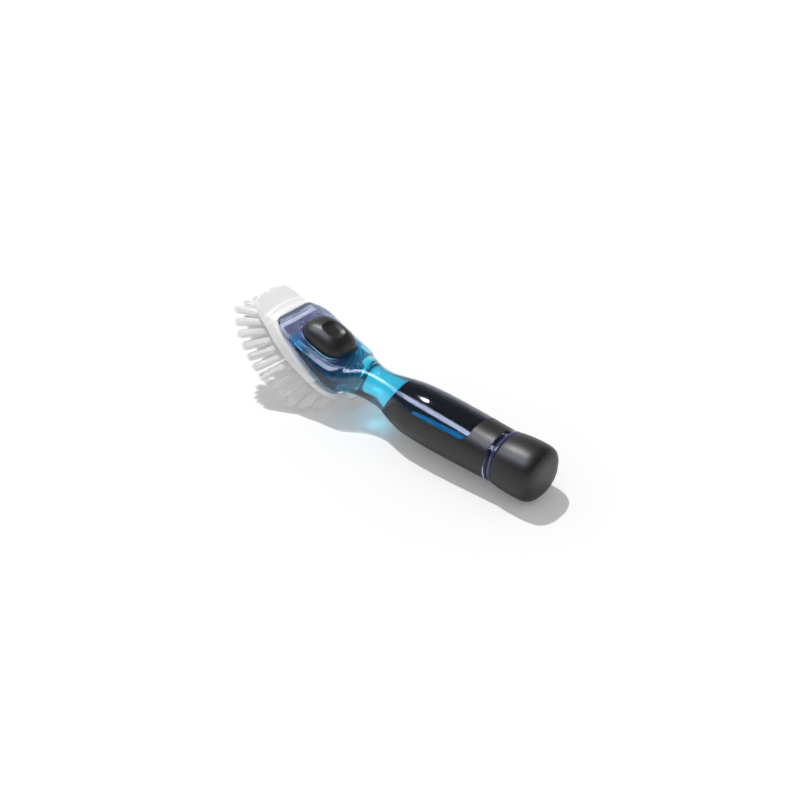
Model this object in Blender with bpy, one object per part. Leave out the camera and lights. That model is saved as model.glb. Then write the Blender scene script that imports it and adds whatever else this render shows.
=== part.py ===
# Soap-dispensing dish brush, lying on its cap and its rear bristles.
# Sizes are in millimetres and degrees, and become metres where a mesh is made.
# +X runs from the brush head to the cap, +Z is up, and the brush is symmetric about Y = 0.
import math

import bmesh
import bpy
import numpy as np
from mathutils import Matrix, Vector

MM = 0.001

# Pose of the brush on the table
frame_shift = 6.6          # brings the middle of the whole brush to X = 0
junction_x = -36.4         # where the handle's axis meets the rear of the head
junction_height = 24.6
head_drop = 6.4            # rear of the head's datum plane below the handle's axis
head_tilt = 32.4           # the head's front stands up
deck_tilt = 18.3           # slope of the housing's top under the button

# Clearances
seat_gap = 0.3             # between pieces that seat on each other
run_gap = 0.4              # between pieces that slide in each other

# Handle, measured along its axis from the junction
neck_length = 33.6
grip_length = 93.8
collar_length = 3.0
flange_length = 2.7
cap_length = 30.6
cap_height = 38.4
cap_width = 41.0

# Clear body
body_wall = 2.2
tube_wall = 2.0
mouth_bore = 13.4
mouth_depth = 17.0

# Grip sleeve
grip_wall = 2.3
window_front = 42.0
window_length = 69.0
window_angle = 60.0
window_corner = 7.0
grip_lean = 0.7            # how far the sleeve's front edge runs forward for each millimetre down

# Button and pump, measured square to the deck
button_centre = 38.0       # along the head's datum
button_length = 39.0
button_width = 29.0
button_height = 10.4
button_skirt = 3.0
button_wall = 1.6
button_travel = 3.0
dish_depth = 1.2
dish_rear = 1.6            # how far the dish's middle lies behind the button's
guide_wall = 1.2
piston_radius = 6.0
cylinder_wall = 1.2
stem_radius = 2.4
spring_wire = 0.8
spring_turns = 4.0

# Brush head, measured along the head's datum from its rear
head_front = 73.6          # front face of the clear housing
scraper_tip = 97.4
scraper_half = 15.0        # at the lower edge of the tip
scraper_top = -7.2
scraper_edge = 1.3
housing_half = 25.0        # widest half of the clear housing
base_flare = 1.9           # how far the lower edge stands out past the rails
base_bottom = -10.0
rail_top = -0.6
rail_width = 1.5
low_rail_top = -4.4
rim_step = 20.5            # the side rails are low behind this
ridge_gap = 8.4            # from the housing's front to the ridge across the base
base_bow = 3.0             # how far the ridge bends back at its ends
skirt_wall = 2.2
backing = 1.5
backing_depth = 1.9        # from the lower edge up to the pocket's top
field_front = 88.0
field_rear = 4.5
field_gap = 0.4
nozzle_radius = 3.6
nozzle_place = 37.0

# Tufts
tuft_rows = 12
tuft_pitch = 7.4
strands_in_tuft = 5
strand_width = 1.15
strand_length = 27.0
tuft_root_spread = 1.35
tuft_tip_spread = 2.6
tuft_side_splay = 0.86
tuft_lean_front = 1.2

ring_points = 32

# Derived places
base_half = housing_half + rail_width + base_flare   # at the lower edge
grip_front = neck_length
grip_end = neck_length + grip_length
collar_start = grip_end + seat_gap
collar_end = collar_start + collar_length
flange_start = collar_end + seat_gap
flange_end = flange_start + flange_length
cap_start = flange_end + seat_gap
cap_end = cap_start + cap_length
cap_touch = cap_start + 18.0   # the cap's widest ring, which lies on the table
ring_peak = math.cos(math.pi / ring_points) ** (2 / 2.25)
reach_to_touch = math.hypot(cap_touch, cap_height / 2 * ring_peak)
handle_tilt = math.degrees(math.asin(junction_height / reach_to_touch)
                           - math.atan2(cap_height / 2 * ring_peak, cap_touch))


def rotation(degrees):
    """Turn about Y that drops the +X side by the given angle."""
    return Matrix.Rotation(math.radians(degrees), 4, "Y")


handle_place = Matrix.Translation((junction_x, 0, junction_height)) @ rotation(handle_tilt)
half_turn = Matrix.Rotation(math.pi, 4, "Z")
head_place = Matrix.Translation((junction_x, 0, junction_height - head_drop)) @ rotation(head_tilt) @ half_turn


def on_handle(along, up):
    """XZ of a point in the handle's frame."""
    p = handle_place @ Vector((along, 0, up))
    return p.x, p.z


def on_head(forward, up):
    """XZ of a point in the head's frame, forward of the head's rear."""
    p = head_place @ Vector((forward, 0, up))
    return p.x, p.z


def clear_scene():
    for item in list(bpy.data.objects):
        bpy.data.objects.remove(item, do_unlink=True)


def make_material(name, colour, roughness, metallic=0.0, alpha=1.0):
    material = bpy.data.materials.new(name)
    material.use_nodes = True
    shader = material.node_tree.nodes["Principled BSDF"]
    shader.inputs["Base Color"].default_value = (*colour, 1.0)
    shader.inputs["Roughness"].default_value = roughness
    shader.inputs["Metallic"].default_value = metallic
    shader.inputs["Alpha"].default_value = alpha
    material.diffuse_color = (*colour, alpha)
    return material


def mesh_object(name, points, faces, material=None, place=None, smooth=35.0):
    """One object from points in millimetres, in the frame given by place."""
    mesh = bpy.data.meshes.new(name)
    mesh.from_pydata([Vector(p) * MM for p in points], [], faces)
    shell = bmesh.new()
    shell.from_mesh(mesh)
    bmesh.ops.remove_doubles(shell, verts=shell.verts, dist=1e-6)
    bmesh.ops.recalc_face_normals(shell, faces=shell.faces)
    shell.to_mesh(mesh)
    shell.free()
    mesh.shade_smooth()
    mesh.set_sharp_from_angle(angle=math.radians(smooth))
    thing = bpy.data.objects.new(name, mesh)
    bpy.context.collection.objects.link(thing)
    if material:
        mesh.materials.append(material)
    if place is not None:
        thing.parent = place
    return thing


def loft(rings):
    """Closed skin through rings of equal point counts."""
    count = len(rings[0])
    points = [p for ring in rings for p in ring]
    faces = []
    for i in range(len(rings) - 1):
        for j in range(count):
            k = (j + 1) % count
            faces.append((i * count + j, i * count + k, (i + 1) * count + k, (i + 1) * count + j))
    last = (len(rings) - 1) * count
    faces.append(tuple(reversed(range(count))))
    faces.append(tuple(range(last, last + count)))
    return points, faces


def turned(profile, steps=24, centre=(0.0, 0.0), height=0.0):
    """Solid of revolution about Z from (radius, z) points; a profile off the axis closes on itself."""
    solid = profile[0][0] == 0 and profile[-1][0] == 0
    inner = profile[1:-1] if solid else profile
    points = []
    for j in range(steps):
        angle = 2 * math.pi * (j + 0.5) / steps
        for radius, z in inner:
            points.append((centre[0] + radius * math.cos(angle), centre[1] + radius * math.sin(angle), z + height))
    n = len(inner)
    faces = []
    for j in range(steps):
        k = (j + 1) % steps
        for i in range(n - 1 if solid else n):
            m = (i + 1) % n
            faces.append((j * n + i, k * n + i, k * n + m, j * n + m))
    if solid:
        first = len(points)
        points.append((centre[0], centre[1], profile[0][1] + height))
        points.append((centre[0], centre[1], profile[-1][1] + height))
        for j in range(steps):
            k = (j + 1) % steps
            faces.append((first, k * n, j * n))
            faces.append((first + 1, j * n + n - 1, k * n + n - 1))
    return points, faces


def cutter(name, points, faces, place=None):
    thing = mesh_object(name, points, faces, None, place)
    hide(thing)
    return thing


def hide(thing):
    thing.hide_render = True
    thing.display_type = "WIRE"


def combine(target, tool, operation="DIFFERENCE"):
    step = target.modifiers.new(tool.name, "BOOLEAN")
    step.operation = operation
    step.solver = "EXACT"
    step.object = tool


def superellipse(angle, exponent):
    c, s = math.cos(angle), math.sin(angle)
    across = math.copysign(abs(c) ** (2 / exponent), c)
    up = math.copysign(abs(s) ** (2 / exponent), s)
    return across, up


def rounded_block(centre, size, place, name):
    """Plain box used for cuts."""
    x, y, z = (half / 2 for half in size)
    corners = [(centre[0] + a * x, centre[1] + b * y, centre[2] + c * z)
               for a in (-1, 1) for b in (-1, 1) for c in (-1, 1)]
    faces = [(0, 1, 3, 2), (4, 6, 7, 5), (0, 4, 5, 1), (2, 3, 7, 6), (0, 2, 6, 4), (1, 5, 7, 3)]
    return cutter(name, corners, faces, place)


# Outer form: each section runs from a point on the top line to one on the bottom line.
# (top, bottom, half width, height of the widest level above the bottom, top exponent, bottom exponent, wall)
def section(top, bottom, half, widest, bend_top, bend_bottom, wall):
    return np.array([top[0], top[1], bottom[0], bottom[1], half, widest, bend_top, bend_bottom, wall])


def head_section(forward, top_forward, top_up, half, bend=2.4, low=-2.0):
    top = on_head(top_forward, top_up)
    bottom = on_head(forward, low)
    widest = min(4.0, 0.62 * (top_up - low))
    return section(top, bottom, half, widest, bend, 7.0, body_wall)


def handle_section(along, top, bottom, half, bend=2.2, wall=body_wall):
    return section(on_handle(along, top), on_handle(along, bottom), half, -bottom, bend, bend, wall)


hidden_wall = grip_wall + seat_gap + tube_wall


# Top line of the housing: distance forward and height above the head's datum
deck_line = [(72.8, 0.3), (72.5, 0.8), (71.0, 1.5), (68.0, 2.4), (61.3, 4.2), (48.8, 7.6), (34.4, 11.3),
             (21.6, 15.2), (14.7, 18.7), (9.9, 21.4)]


def outline_sections():
    """Sections of the clear body and grip from the front face to the end of the collar."""
    collar_half = cap_width / 2 - 1.0
    end = [
        handle_section(99.0, 18.7, -18.2, 20.0, wall=hidden_wall),
        handle_section(grip_end - 6.0, 17.2, -18.0, collar_half + 0.1, wall=hidden_wall),
        handle_section(collar_end, 16.9, -17.8, collar_half, wall=hidden_wall),
    ]
    return [
        head_section(head_front, *deck_line[0], housing_half - 11.4, 3.4),
        head_section(head_front - 0.5, *deck_line[1], housing_half - 9.6, 3.2),
        head_section(head_front - 2.0, *deck_line[2], housing_half - 8.1, 3.0),
        head_section(head_front - 5.4, *deck_line[3], housing_half - 6.1, 2.8),
        head_section(61.0, *deck_line[4], housing_half - 3.2, 2.6),
        head_section(48.0, *deck_line[5], housing_half - 1.4),
        head_section(34.0, *deck_line[6], housing_half - 0.5),
        head_section(20.5, *deck_line[7], housing_half),
        head_section(12.5, *deck_line[8], housing_half - 0.4, 2.3),
        head_section(6.6, *deck_line[9], housing_half - 3.0, 2.2),
        section(on_handle(9.0, 18.3), on_head(2.2, -1.7), 18.2, 6.0, 2.2, 4.0, body_wall),
        section(on_handle(13.2, 17.9), on_head(-1.2, -0.2), 14.9, 9.5, 2.2, 2.8, body_wall),
        section(on_handle(18.0, 17.5), on_handle(9.5, -8.2), 13.0, 10.5, 2.2, 2.3, body_wall),
        handle_section(24.0, 17.2, -7.6, 12.3),
        handle_section(30.0, 17.3, -8.9, 12.8),
        handle_section(35.0, 17.8, -11.4, 13.9, wall=3.0),
        handle_section(40.5, 18.4, -13.7, 15.6, wall=3.8),
        handle_section(53.0, 19.6, -17.0, 18.6, wall=hidden_wall),
        handle_section(66.0, 19.8, -17.8, 19.7, wall=hidden_wall),
        *end,
    ]


def smooth_through(sections, step=6.0, phase=0.0):
    """Sections along a curve through the given ones; phase moves them within each span."""
    data = np.array(sections)
    middle = (data[:, 0:2] + data[:, 2:4]) / 2
    run = np.concatenate([[0], np.cumsum(np.linalg.norm(np.diff(middle, axis=0), axis=1) + 0.2)])
    slope = np.gradient(data, run, axis=0)
    result = []
    for i in range(len(data) - 1):
        span = run[i + 1] - run[i]
        parts = max(1, round(span / step))
        for k in range(parts):
            t = (k + phase) / parts
            a = data[i] * (2 * t**3 - 3 * t**2 + 1) + slope[i] * span * (t**3 - 2 * t**2 + t)
            b = data[i + 1] * (3 * t**2 - 2 * t**3) + slope[i + 1] * span * (t**3 - t**2)
            result.append(a + b)
    result.append(data[-1])
    return result


def ring_of(row, inset=0.0, drop=0.0, turn=0.5):
    """Points round one section, moved in by inset; drop opens the lower side, turn shifts the points."""
    top, bottom = np.array(row[0:2]), np.array(row[2:4])
    height = np.linalg.norm(top - bottom)
    rise = (top - bottom) / height
    widest = row[5] / height
    low = bottom + rise * (inset - drop)
    high = top - rise * inset
    half = row[4] - inset
    points = []
    for j in range(ring_points):
        angle = 2 * math.pi * (j + turn) / ring_points
        across, up = superellipse(angle, row[6] if math.sin(angle) >= 0 else row[7])
        level = widest + (1 - widest) * up if up >= 0 else widest * (1 + up)
        spot = low + (high - low) * level
        points.append((spot[0], half * across, spot[1]))
    return points


def outer_rings(inset=0.0, extra=0.0):
    """Rings of the whole clear form; extra lengthens both ends."""
    rows = smooth_through(outline_sections())
    rings = [ring_of(row, inset) for row in rows]
    if extra:
        rings[0] = slide_ring(rings[0], head_place, extra)
        rings[-1] = slide_ring(rings[-1], handle_place, extra)
    return rings


def slide_ring(ring, place, distance):
    step = place.to_3x3() @ Vector((distance, 0, 0))
    return [(p[0] + step.x, p[1], p[2] + step.z) for p in ring]


def along_handle(row):
    """Distance of a section's top point along the handle's axis."""
    p = handle_place.inverted() @ Vector((row[0], 0, row[1]))
    return p.x


def handle_rows(start, end):
    """Sections between two places on the handle, with one at each end."""
    rows = smooth_through(outline_sections(), step=9.0)
    reach = [along_handle(row) for row in rows]
    inside = [row for row, place in zip(rows, reach) if start + 1.5 < place < end - 1.5]
    ends = [np.array([np.interp(place, reach, [row[k] for row in rows]) for k in range(9)])
            for place in (start, end)]
    return [ends[0], *inside, ends[1]]


def tube_between(start, end, outer, inner, turn):
    """Open-ended sleeve that follows the handle, outer and inner being insets."""
    rows = handle_rows(start, end)
    outside = [ring_of(row, outer, turn=turn) for row in rows]
    inside = [ring_of(row, inner, turn=turn) for row in rows]
    count = ring_points
    rings = outside + inside[::-1]
    points = [p for ring in rings for p in ring]
    faces = []
    for i in range(len(rings)):
        n = (i + 1) % len(rings)
        for j in range(count):
            k = (j + 1) % count
            faces.append((i * count + j, i * count + k, n * count + k, n * count + j))
    return points, faces


def window_block(grow):
    """Solid over the window, from inside the tube to outside the grip."""
    front = window_front - 14.0
    rear = window_front + window_length + grow
    corner = window_corner + grow
    places = [front, window_front + 0.25 * window_length, window_front + 0.6 * window_length, rear - corner]
    places += [rear - corner * (1 - math.sin(math.radians(a))) for a in (22.5, 45, 67.5)]
    places.append(rear)
    steps = 12
    outside, inside = [], []
    for place in places:
        row = handle_rows(place, place + 4.0)[0]
        centre = np.array(on_handle(place, 0.0))
        radius = row[4]
        edge = math.radians(window_angle) + grow / radius
        past = max(0.0, place - (rear - corner)) / corner
        edge -= corner / radius * (1 - math.sqrt(max(0.0, 1 - past**2)))
        up = np.array(on_handle(place, 1.0)) - centre
        for ring, reach in ((outside, 1.25), (inside, 0.62)):
            arc = []
            for j in range(steps + 1):
                angle = edge * (2 * j / steps - 1)
                across = radius * reach * math.sin(angle)
                spot = centre + up * radius * reach * math.cos(angle)
                arc.append((spot[0], across, spot[1]))
            ring.append(arc)
    rings = [a + b[::-1] for a, b in zip(outside, inside)]
    return loft(rings)


def grip_form(name, grow, place):
    """Sleeve round the handle with its window and slanted front; grow swells it for the body's cut."""
    start = grip_front - 12.0 * grip_lean
    outset, turn = (-2.0, 0.0) if grow else (0.0, 0.5)
    points, faces = tube_between(start, grip_end + grow, outset, grip_wall + grow, turn)
    sleeve = mesh_object(name, points, faces, None, place)
    window = cutter(name + "_window", *window_block(-grow), place)
    combine(sleeve, window)
    lean = math.atan(grip_lean)
    edge = window_front - grow / math.cos(lean)
    block = rounded_block((-40.0, 0.0, 0.0), (80.0, 80.0, 160.0), place, name + "_front")
    spot = handle_place @ Vector((edge, 0, 4.0))
    block.location = spot * MM
    block.rotation_euler = (0, math.radians(handle_tilt) + lean, 0)
    combine(sleeve, block)
    return sleeve


def deck_height(forward):
    """Height of the housing's top line above the head's datum."""
    spots, heights = zip(*sorted(deck_line))
    return float(np.interp(forward, spots, heights))


def frame(name, matrix, parent):
    """Empty that carries the pieces of one frame."""
    empty = bpy.data.objects.new(name, None)
    empty.empty_display_size = 0.01
    bpy.context.collection.objects.link(empty)
    empty.parent = parent
    empty.matrix_local = to_metres(matrix)
    return empty


def oval(half_length, half_width, height, shift=0.0, bend=3.0, points=28):
    """Ring in the deck's frame."""
    ring = []
    for j in range(points):
        along, across = superellipse(2 * math.pi * (j + 0.5) / points, bend)
        ring.append((shift + half_length * along, half_width * across, height))
    return ring


def build_clear_body(root, material, deck):
    body = mesh_object("clear_body", *loft(outer_rings()), material, root)
    combine(body, make_grip_cutter(root))
    combine(body, make_cavity("body_cavity", 0.0, root))
    mouth = cutter("body_mouth", *turned([(0, -mouth_depth), (mouth_bore, -mouth_depth),
                                          (mouth_bore, 3.0), (0, 3.0)], 28), root)
    mouth.matrix_local = to_metres(handle_place @ Matrix.Translation((collar_end, 0, 0)) @ turn_to_axis())
    combine(body, mouth)
    hole_half = (skirt_half[0] + run_gap, skirt_half[1] + run_gap)
    hole = cutter("button_hole", *loft([oval(*hole_half, -7.0), oval(*hole_half, 6.0)]), deck)
    combine(body, hole)
    return body


def to_metres(matrix):
    """The same frame with its place in metres."""
    result = matrix.copy()
    result.translation = matrix.translation * MM
    return result


def turn_to_axis():
    """Turns a lathe's Z axis onto the handle's axis."""
    return Matrix.Rotation(math.radians(90), 4, "Y")


def make_grip_cutter(root):
    form = grip_form("grip_space", seat_gap, root)
    hide(form)
    return form


def make_cavity(name, shrink, root):
    """Hollow of the housing, neck and tube; open under the housing, closed short of the mouth."""
    rows = smooth_through(outline_sections(), step=8.0, phase=0.45)
    end = collar_end - mouth_depth + 2.0
    start = head_front - 2 * body_wall
    rings = []
    for row in rows:
        inset = row[8] + shrink
        head_side = handle_place.inverted() @ Vector((row[2], 0, row[3]))
        open_share = float(np.clip((-2.0 - head_side.x) / 5.0, 0.0, 1.0))
        forward = (head_place.inverted() @ Vector((row[2], 0, row[3]))).x
        if along_handle(row) < end - 2.0 and forward < start:
            rings.append(ring_of(row, inset, open_share * (inset + 3.0), turn=0.0))
    last = handle_rows(end, end + 4.0)[0]
    rings.append(ring_of(last, last[8] + shrink, turn=0.0))
    rings[0] = slide_ring(rings[0], head_place, -shrink)
    return cutter(name, *loft(rings), root)


def build_grip(root, material):
    grip = grip_form("grip_sleeve", 0.0, root)
    grip.data.materials.append(material)
    return grip


# Button and pump, in the deck's frame: Z is square to the deck, X points forward
skirt_half = (button_length / 2, button_width / 2)
core_top = 5.0
core_bottom = 3.6
stem_end = -2.4
piston_top = stem_end - seat_gap
piston_height = 2.2
chamber_floor = piston_top - piston_height - button_travel - seat_gap
cylinder_bore = piston_radius + run_gap
cylinder_outer = cylinder_bore + cylinder_wall
flange_height = -6.6
flange_thick = 0.7
spring_radius = cylinder_outer + 0.6 + spring_wire


def build_button(deck, root, material):
    """Soft hollow wedge with a thumb dish; low at the front, steep at the rear."""
    length, width = button_length / 2, button_width / 2
    skirt, side = skirt_half
    inner_top = core_top + seat_gap
    rings = [
        oval(length - 4.6, width - 4.4, inner_top),
        oval(length - 3.4, width - 3.2, inner_top - 1.2),
        oval(skirt - button_wall, side - button_wall, 0.0),
        oval(skirt - button_wall, side - button_wall, -button_skirt),
        oval(skirt, side, -button_skirt),
        oval(skirt, side, 1.6),
        oval(length - 0.5, width - 0.5, 3.4, -0.1),
        oval(length - 2.0, width - 1.6, 5.6, -0.2),
        oval(length - 4.4, width - 3.2, 7.6, -0.6, 2.9),
        oval(length - 7.4, width - 5.1, 9.2, -1.1, 2.8),
        oval(length - 9.8, width - 6.6, button_height - 0.3, -dish_rear, 2.7),
        oval(length - 11.0, width - 7.5, button_height, -dish_rear, 2.7),
        oval(length - 12.1, width - 8.5, button_height - 0.4, -dish_rear, 2.7),
        oval(length - 14.4, width - 10.4, button_height - dish_depth, -dish_rear, 2.6),
    ]
    return mesh_object("button_cover", *loft(rings), material, deck)


def build_button_core(deck, material):
    """Stiff plate inside the soft button, with the stem that drives the piston."""
    length, width = button_length / 2 - 5.0, button_width / 2 - 4.8
    plate = mesh_object("button_core", *loft([oval(length, width, core_bottom), oval(length, width, core_top)]),
                        material, deck)
    stem = cutter("core_stem", *turned([(0, stem_end), (stem_radius, stem_end),
                                        (stem_radius, core_bottom + 0.5), (0, core_bottom + 0.5)], 16), deck)
    combine(plate, stem, "UNION")
    return plate


def build_piston(deck, material, rubber):
    low = piston_top - piston_height
    lip = 0.5
    groove = piston_radius - 1.2
    piston = turned([(0, low), (piston_radius, low), (piston_radius, low + lip), (groove, low + lip),
                     (groove, piston_top - lip), (piston_radius, piston_top - lip),
                     (piston_radius, piston_top), (0, piston_top)], 24)
    mesh_object("pump_piston", *piston, material, deck)
    inner, outer = groove + 0.1, cylinder_bore - 0.1
    bottom, top = low + lip + 0.1, piston_top - lip - 0.1
    seal = turned([(inner, bottom), (outer - 0.3, bottom), (outer, bottom + 0.3),
                   (outer, top - 0.3), (outer - 0.3, top), (inner, top)], 24)
    mesh_object("piston_seal", *seal, rubber, deck)


def floor_slab(name, low, high, head):
    return rounded_block((40.0, 0.0, (low + high) / 2), (120.0, 90.0, high - low), head, name)


floor_top = -0.7
floor_bottom = -2.0


def build_cylinder(deck, head, material):
    """Cup for the piston; its skirt stands on the sloping pump floor."""
    flange = flange_height - flange_thick
    profile = [(1.2, chamber_floor - 0.9), (1.2, chamber_floor), (cylinder_bore, chamber_floor),
               (cylinder_bore, -1.6), (cylinder_outer, -1.6), (cylinder_outer, flange_height),
               (spring_radius + 1.0, flange_height), (spring_radius + 1.0, flange),
               (cylinder_outer, flange), (cylinder_outer, -15.0), (cylinder_bore, -15.0),
               (cylinder_bore, chamber_floor - 0.9)]
    cylinder = mesh_object("pump_cylinder", *turned(profile, 24), material, deck)
    combine(cylinder, floor_slab("cylinder_foot", -30.0, floor_top + seat_gap, head))
    return cylinder


def build_spring(deck, material):
    """Return spring round the cylinder, from its flange to the button's core."""
    clear = seat_gap + spring_wire / 2
    low, high = flange_height + clear, core_bottom - clear
    count = int(spring_turns * 10)
    points = []
    for k in range(count + 1):
        angle = 2 * math.pi * k / 10
        points.append((spring_radius * math.cos(angle), spring_radius * math.sin(angle), low + (high - low) * k / count))
    pitch = (high - low) / spring_turns
    print("Least gap between the spring's turns:", round(pitch - spring_wire, 3), "mm")
    curve = bpy.data.curves.new("return_spring", "CURVE")
    curve.dimensions = "3D"
    curve.bevel_depth = spring_wire / 2 * MM
    curve.bevel_resolution = 1
    curve.use_fill_caps = True
    line = curve.splines.new("POLY")
    line.points.add(count)
    for point, place in zip(line.points, points):
        point.co = (*(Vector(place) * MM), 1.0)
    curve.materials.append(material)
    spring = bpy.data.objects.new("return_spring", curve)
    bpy.context.collection.objects.link(spring)
    spring.parent = deck
    return spring


def build_guide(deck, root, material):
    """Oval well that guides the button's skirt under the housing's top."""
    inner = (skirt_half[0] + run_gap, skirt_half[1] + run_gap)
    outer = (inner[0] + guide_wall, inner[1] + guide_wall)
    bottom = -6.0
    rings = [oval(*outer, bottom), oval(*outer, 2.0), oval(*inner, 2.0), oval(*inner, bottom)]
    count = len(rings[0])
    points = [p for ring in rings for p in ring]
    faces = []
    for i in range(4):
        n = (i + 1) % 4
        for j in range(count):
            k = (j + 1) % count
            faces.append((i * count + j, i * count + k, n * count + k, n * count + j))
    guide = mesh_object("button_guide", points, faces, material, deck)
    combine(guide, make_cavity("guide_limit", seat_gap, root), "INTERSECT")
    return guide


def build_valves(deck, head, rubber, white):
    band = turned([(cylinder_outer + 0.1, -8.6), (cylinder_outer + 0.8, -8.6),
                   (cylinder_outer + 0.8, -7.6), (cylinder_outer + 0.1, -7.6)], 24)
    mesh_object("inlet_valve", *band, rubber, deck)
    place = (nozzle_place, 0.0)
    top = floor_top + seat_gap
    nozzle = turned([(2.1, top + 0.6), (4.4, top + 0.6), (4.4, top), (nozzle_radius - 0.3, top),
                     (nozzle_radius - 0.3, base_bottom + 1.0), (nozzle_radius - 1.1, base_bottom - 0.4),
                     (1.3, base_bottom - 0.4), (1.3, -6.0), (2.1, -5.2)], 20, place)
    mesh_object("nozzle", *nozzle, white, head)
    valve = turned([(0, top + 0.4), (1.8, top + 0.4), (1.8, -3.0), (0.9, -5.0), (0.0, -5.0)], 16, place)
    mesh_object("outlet_valve", *valve, rubber, head)


def build_floor(head, root, material):
    """Plate that closes the housing from below, with the nozzle's hole."""
    floor = floor_slab("pump_floor", floor_bottom, floor_top, head)
    floor.hide_render = False
    floor.display_type = "TEXTURED"
    floor.data.materials.append(material)
    combine(floor, make_cavity("floor_limit", seat_gap, root), "INTERSECT")
    near = [ring_of(row, body_wall / 2) for row in smooth_through(outline_sections(), step=8.0, phase=0.7)]
    combine(floor, cutter("floor_edge", *loft(near[1:-1]), root), "INTERSECT")
    combine(floor, nozzle_hole("floor_hole", nozzle_radius, head))
    return floor


def nozzle_hole(name, radius, head):
    return cutter(name, *turned([(0, -14.0), (radius, -14.0), (radius, 4.0), (0, 4.0)], 20,
                                (nozzle_place, 0.0)), head)


# Brush head, in the head's frame: X forward, Z out of the head's back
# Outline of the base's lower edge: distance forward and share of the half width
base_outline = [
    (2.2, 0.48), (3.0, 0.56), (4.6, 0.65), (8.2, 0.76), (13.0, 0.83), (20.5, 0.90), (29.0, 0.955), (41.0, 1.0),
    (52.0, 0.985), (64.0, 0.925), (76.5, 0.84), (85.0, 0.755), (89.0, 0.70), (93.0, 0.63),
]
ridge_place = head_front + ridge_gap


def base_half_at(forward):
    """Half width of the base's lower edge."""
    spots = [p[0] for p in base_outline] + [scraper_tip]
    shares = [p[1] * base_half for p in base_outline] + [scraper_half]
    return float(np.interp(forward, spots, shares))


def base_top_half_at(forward):
    """Half width of the base's back: a rail round the housing, then the scraper."""
    housing = sorted(((head_place.inverted() @ Vector((row[2], 0, row[3]))).x, row[4]) for row in outline_sections()[1:9])
    rail = float(np.interp(forward, [p[0] for p in housing], [p[1] for p in housing])) + rail_width
    corner = housing[-1][1] + rail_width
    line = [(rim_step, 0.94 * base_half_at(forward)), (rim_step + 0.6, rail), (head_front - 2.0, rail),
            (head_front + 1.5, corner), (ridge_place, corner), (ridge_place + 8.0, corner - 0.6),
            (scraper_tip, scraper_half - 1.2)]
    return min(float(np.interp(forward, [p[0] for p in line], [p[1] for p in line])), base_half_at(forward))


def base_top_at(forward):
    """Top of the rails, the sloping front frame and the scraper."""
    line = [(rim_step, low_rail_top), (rim_step + 0.6, rail_top), (head_front + 0.8, rail_top),
            (head_front + 2.0, rail_top - 0.4), (ridge_place - 0.8, rail_top - 2.9), (ridge_place, rail_top - 3.0),
            (ridge_place + 1.0, rail_top - 3.5), (ridge_place + 2.4, rail_top - 4.4), (scraper_tip, scraper_top)]
    return float(np.interp(forward, [p[0] for p in line], [p[1] for p in line]))


def base_bottom_at(forward):
    line = [(field_front - 6.0, base_bottom), (field_front + 1.0, base_bottom + 0.3),
            (scraper_tip, scraper_top - scraper_edge)]
    return float(np.interp(forward, [p[0] for p in line], [p[1] for p in line]))


def bow_at(forward):
    """How far the sides of the base's sections lie behind their middle."""
    return float(np.interp(forward, (68.0, ridge_place, scraper_tip), (0.0, base_bow, 1.0)))


def build_head_base(head, root, material):
    """Cradle with rails round the housing, a ridge and the scraper in front."""
    spots = sorted({p[0] for p in base_outline} | {rim_step + 0.6, head_front + 0.8, head_front + 2.0,
                                                   ridge_place - 0.8, ridge_place, ridge_place + 1.0,
                                                   ridge_place + 2.4, 96.6, scraper_tip})
    rings = []
    for spot in spots:
        bow = bow_at(spot)
        wide, narrow = base_half_at(spot - bow), base_top_half_at(spot - bow)
        top, bottom = base_top_at(spot), base_bottom_at(spot)
        ring = []
        for j in range(ring_points):
            across, up = superellipse(2 * math.pi * (j + 0.5) / ring_points, 5.0)
            half = wide + (narrow - wide) * (up + 1) / 2
            ring.append((spot - bow * across**2, half * across, (top + bottom) / 2 + (top - bottom) / 2 * up))
        rings.append(ring)
    base = mesh_object("head_base", *loft(rings), material, head)
    rows = smooth_through(outline_sections(), step=8.0, phase=0.3)
    near = []
    for row in rows:
        if along_handle(row) < 22.0:
            raised = row.copy()
            raised[0:2] += (row[0:2] - row[2:4]) / np.linalg.norm(row[0:2] - row[2:4]) * 12.0
            near.append(ring_of(raised, -run_gap, turn=0.0))
    near[0] = slide_ring(near[0], head_place, run_gap)
    combine(base, cutter("base_seat", *loft(near), root))
    combine(base, rounded_block((0.0, 0.0, -5.0), (2 * tab_root + 1.2, tab_width + 1.0, 14.0), head, "tab_slot"))
    combine(base, nozzle_hole("base_hole", nozzle_radius + run_gap, head))
    low = [(x, y, base_bottom - 2.0) for x, y in field_outline(field_rear - seat_gap, field_front + seat_gap, seat_gap)]
    high = [(x, y, base_bottom + backing_depth) for x, y, z in low]
    combine(base, cutter("backing_pocket", *loft([low, high]), head))
    return base


tab_root = 5.4
tab_width = 19.0
tab_tip = -5.0
tab_level = -5.6
tab_thick = 1.5


def build_release_tab(head, material):
    """Springy tongue at the rear that lets the brush head go."""
    rings = []
    for spot, half, drop in ((tab_root, 1.0, 0.0), (0.0, 1.0, 0.0), (tab_tip + 1.2, 0.95, 0.5), (tab_tip, 0.7, 0.9)):
        ring = []
        for j in range(16):
            across, up = superellipse(2 * math.pi * (j + 0.5) / 16, 4.0)
            ring.append((spot - tab_root, tab_width / 2 * half * across, (tab_thick + drop) / 2 * up - drop / 2))
        rings.append(ring)
    pivot = frame("tab_hinge", Matrix.Translation((tab_root, 0, tab_level)), head)
    return mesh_object("release_tab", *loft(rings), material, pivot)


backing_top = base_bottom + backing_depth - seat_gap


def fill_between(shell, loops):
    """Flat face between an outer loop and the loops of its holes."""
    edges = [edge for loop in loops for edge in loop]
    bmesh.ops.triangle_fill(shell, use_beauty=True, use_dissolve=False, edges=edges)


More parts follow.
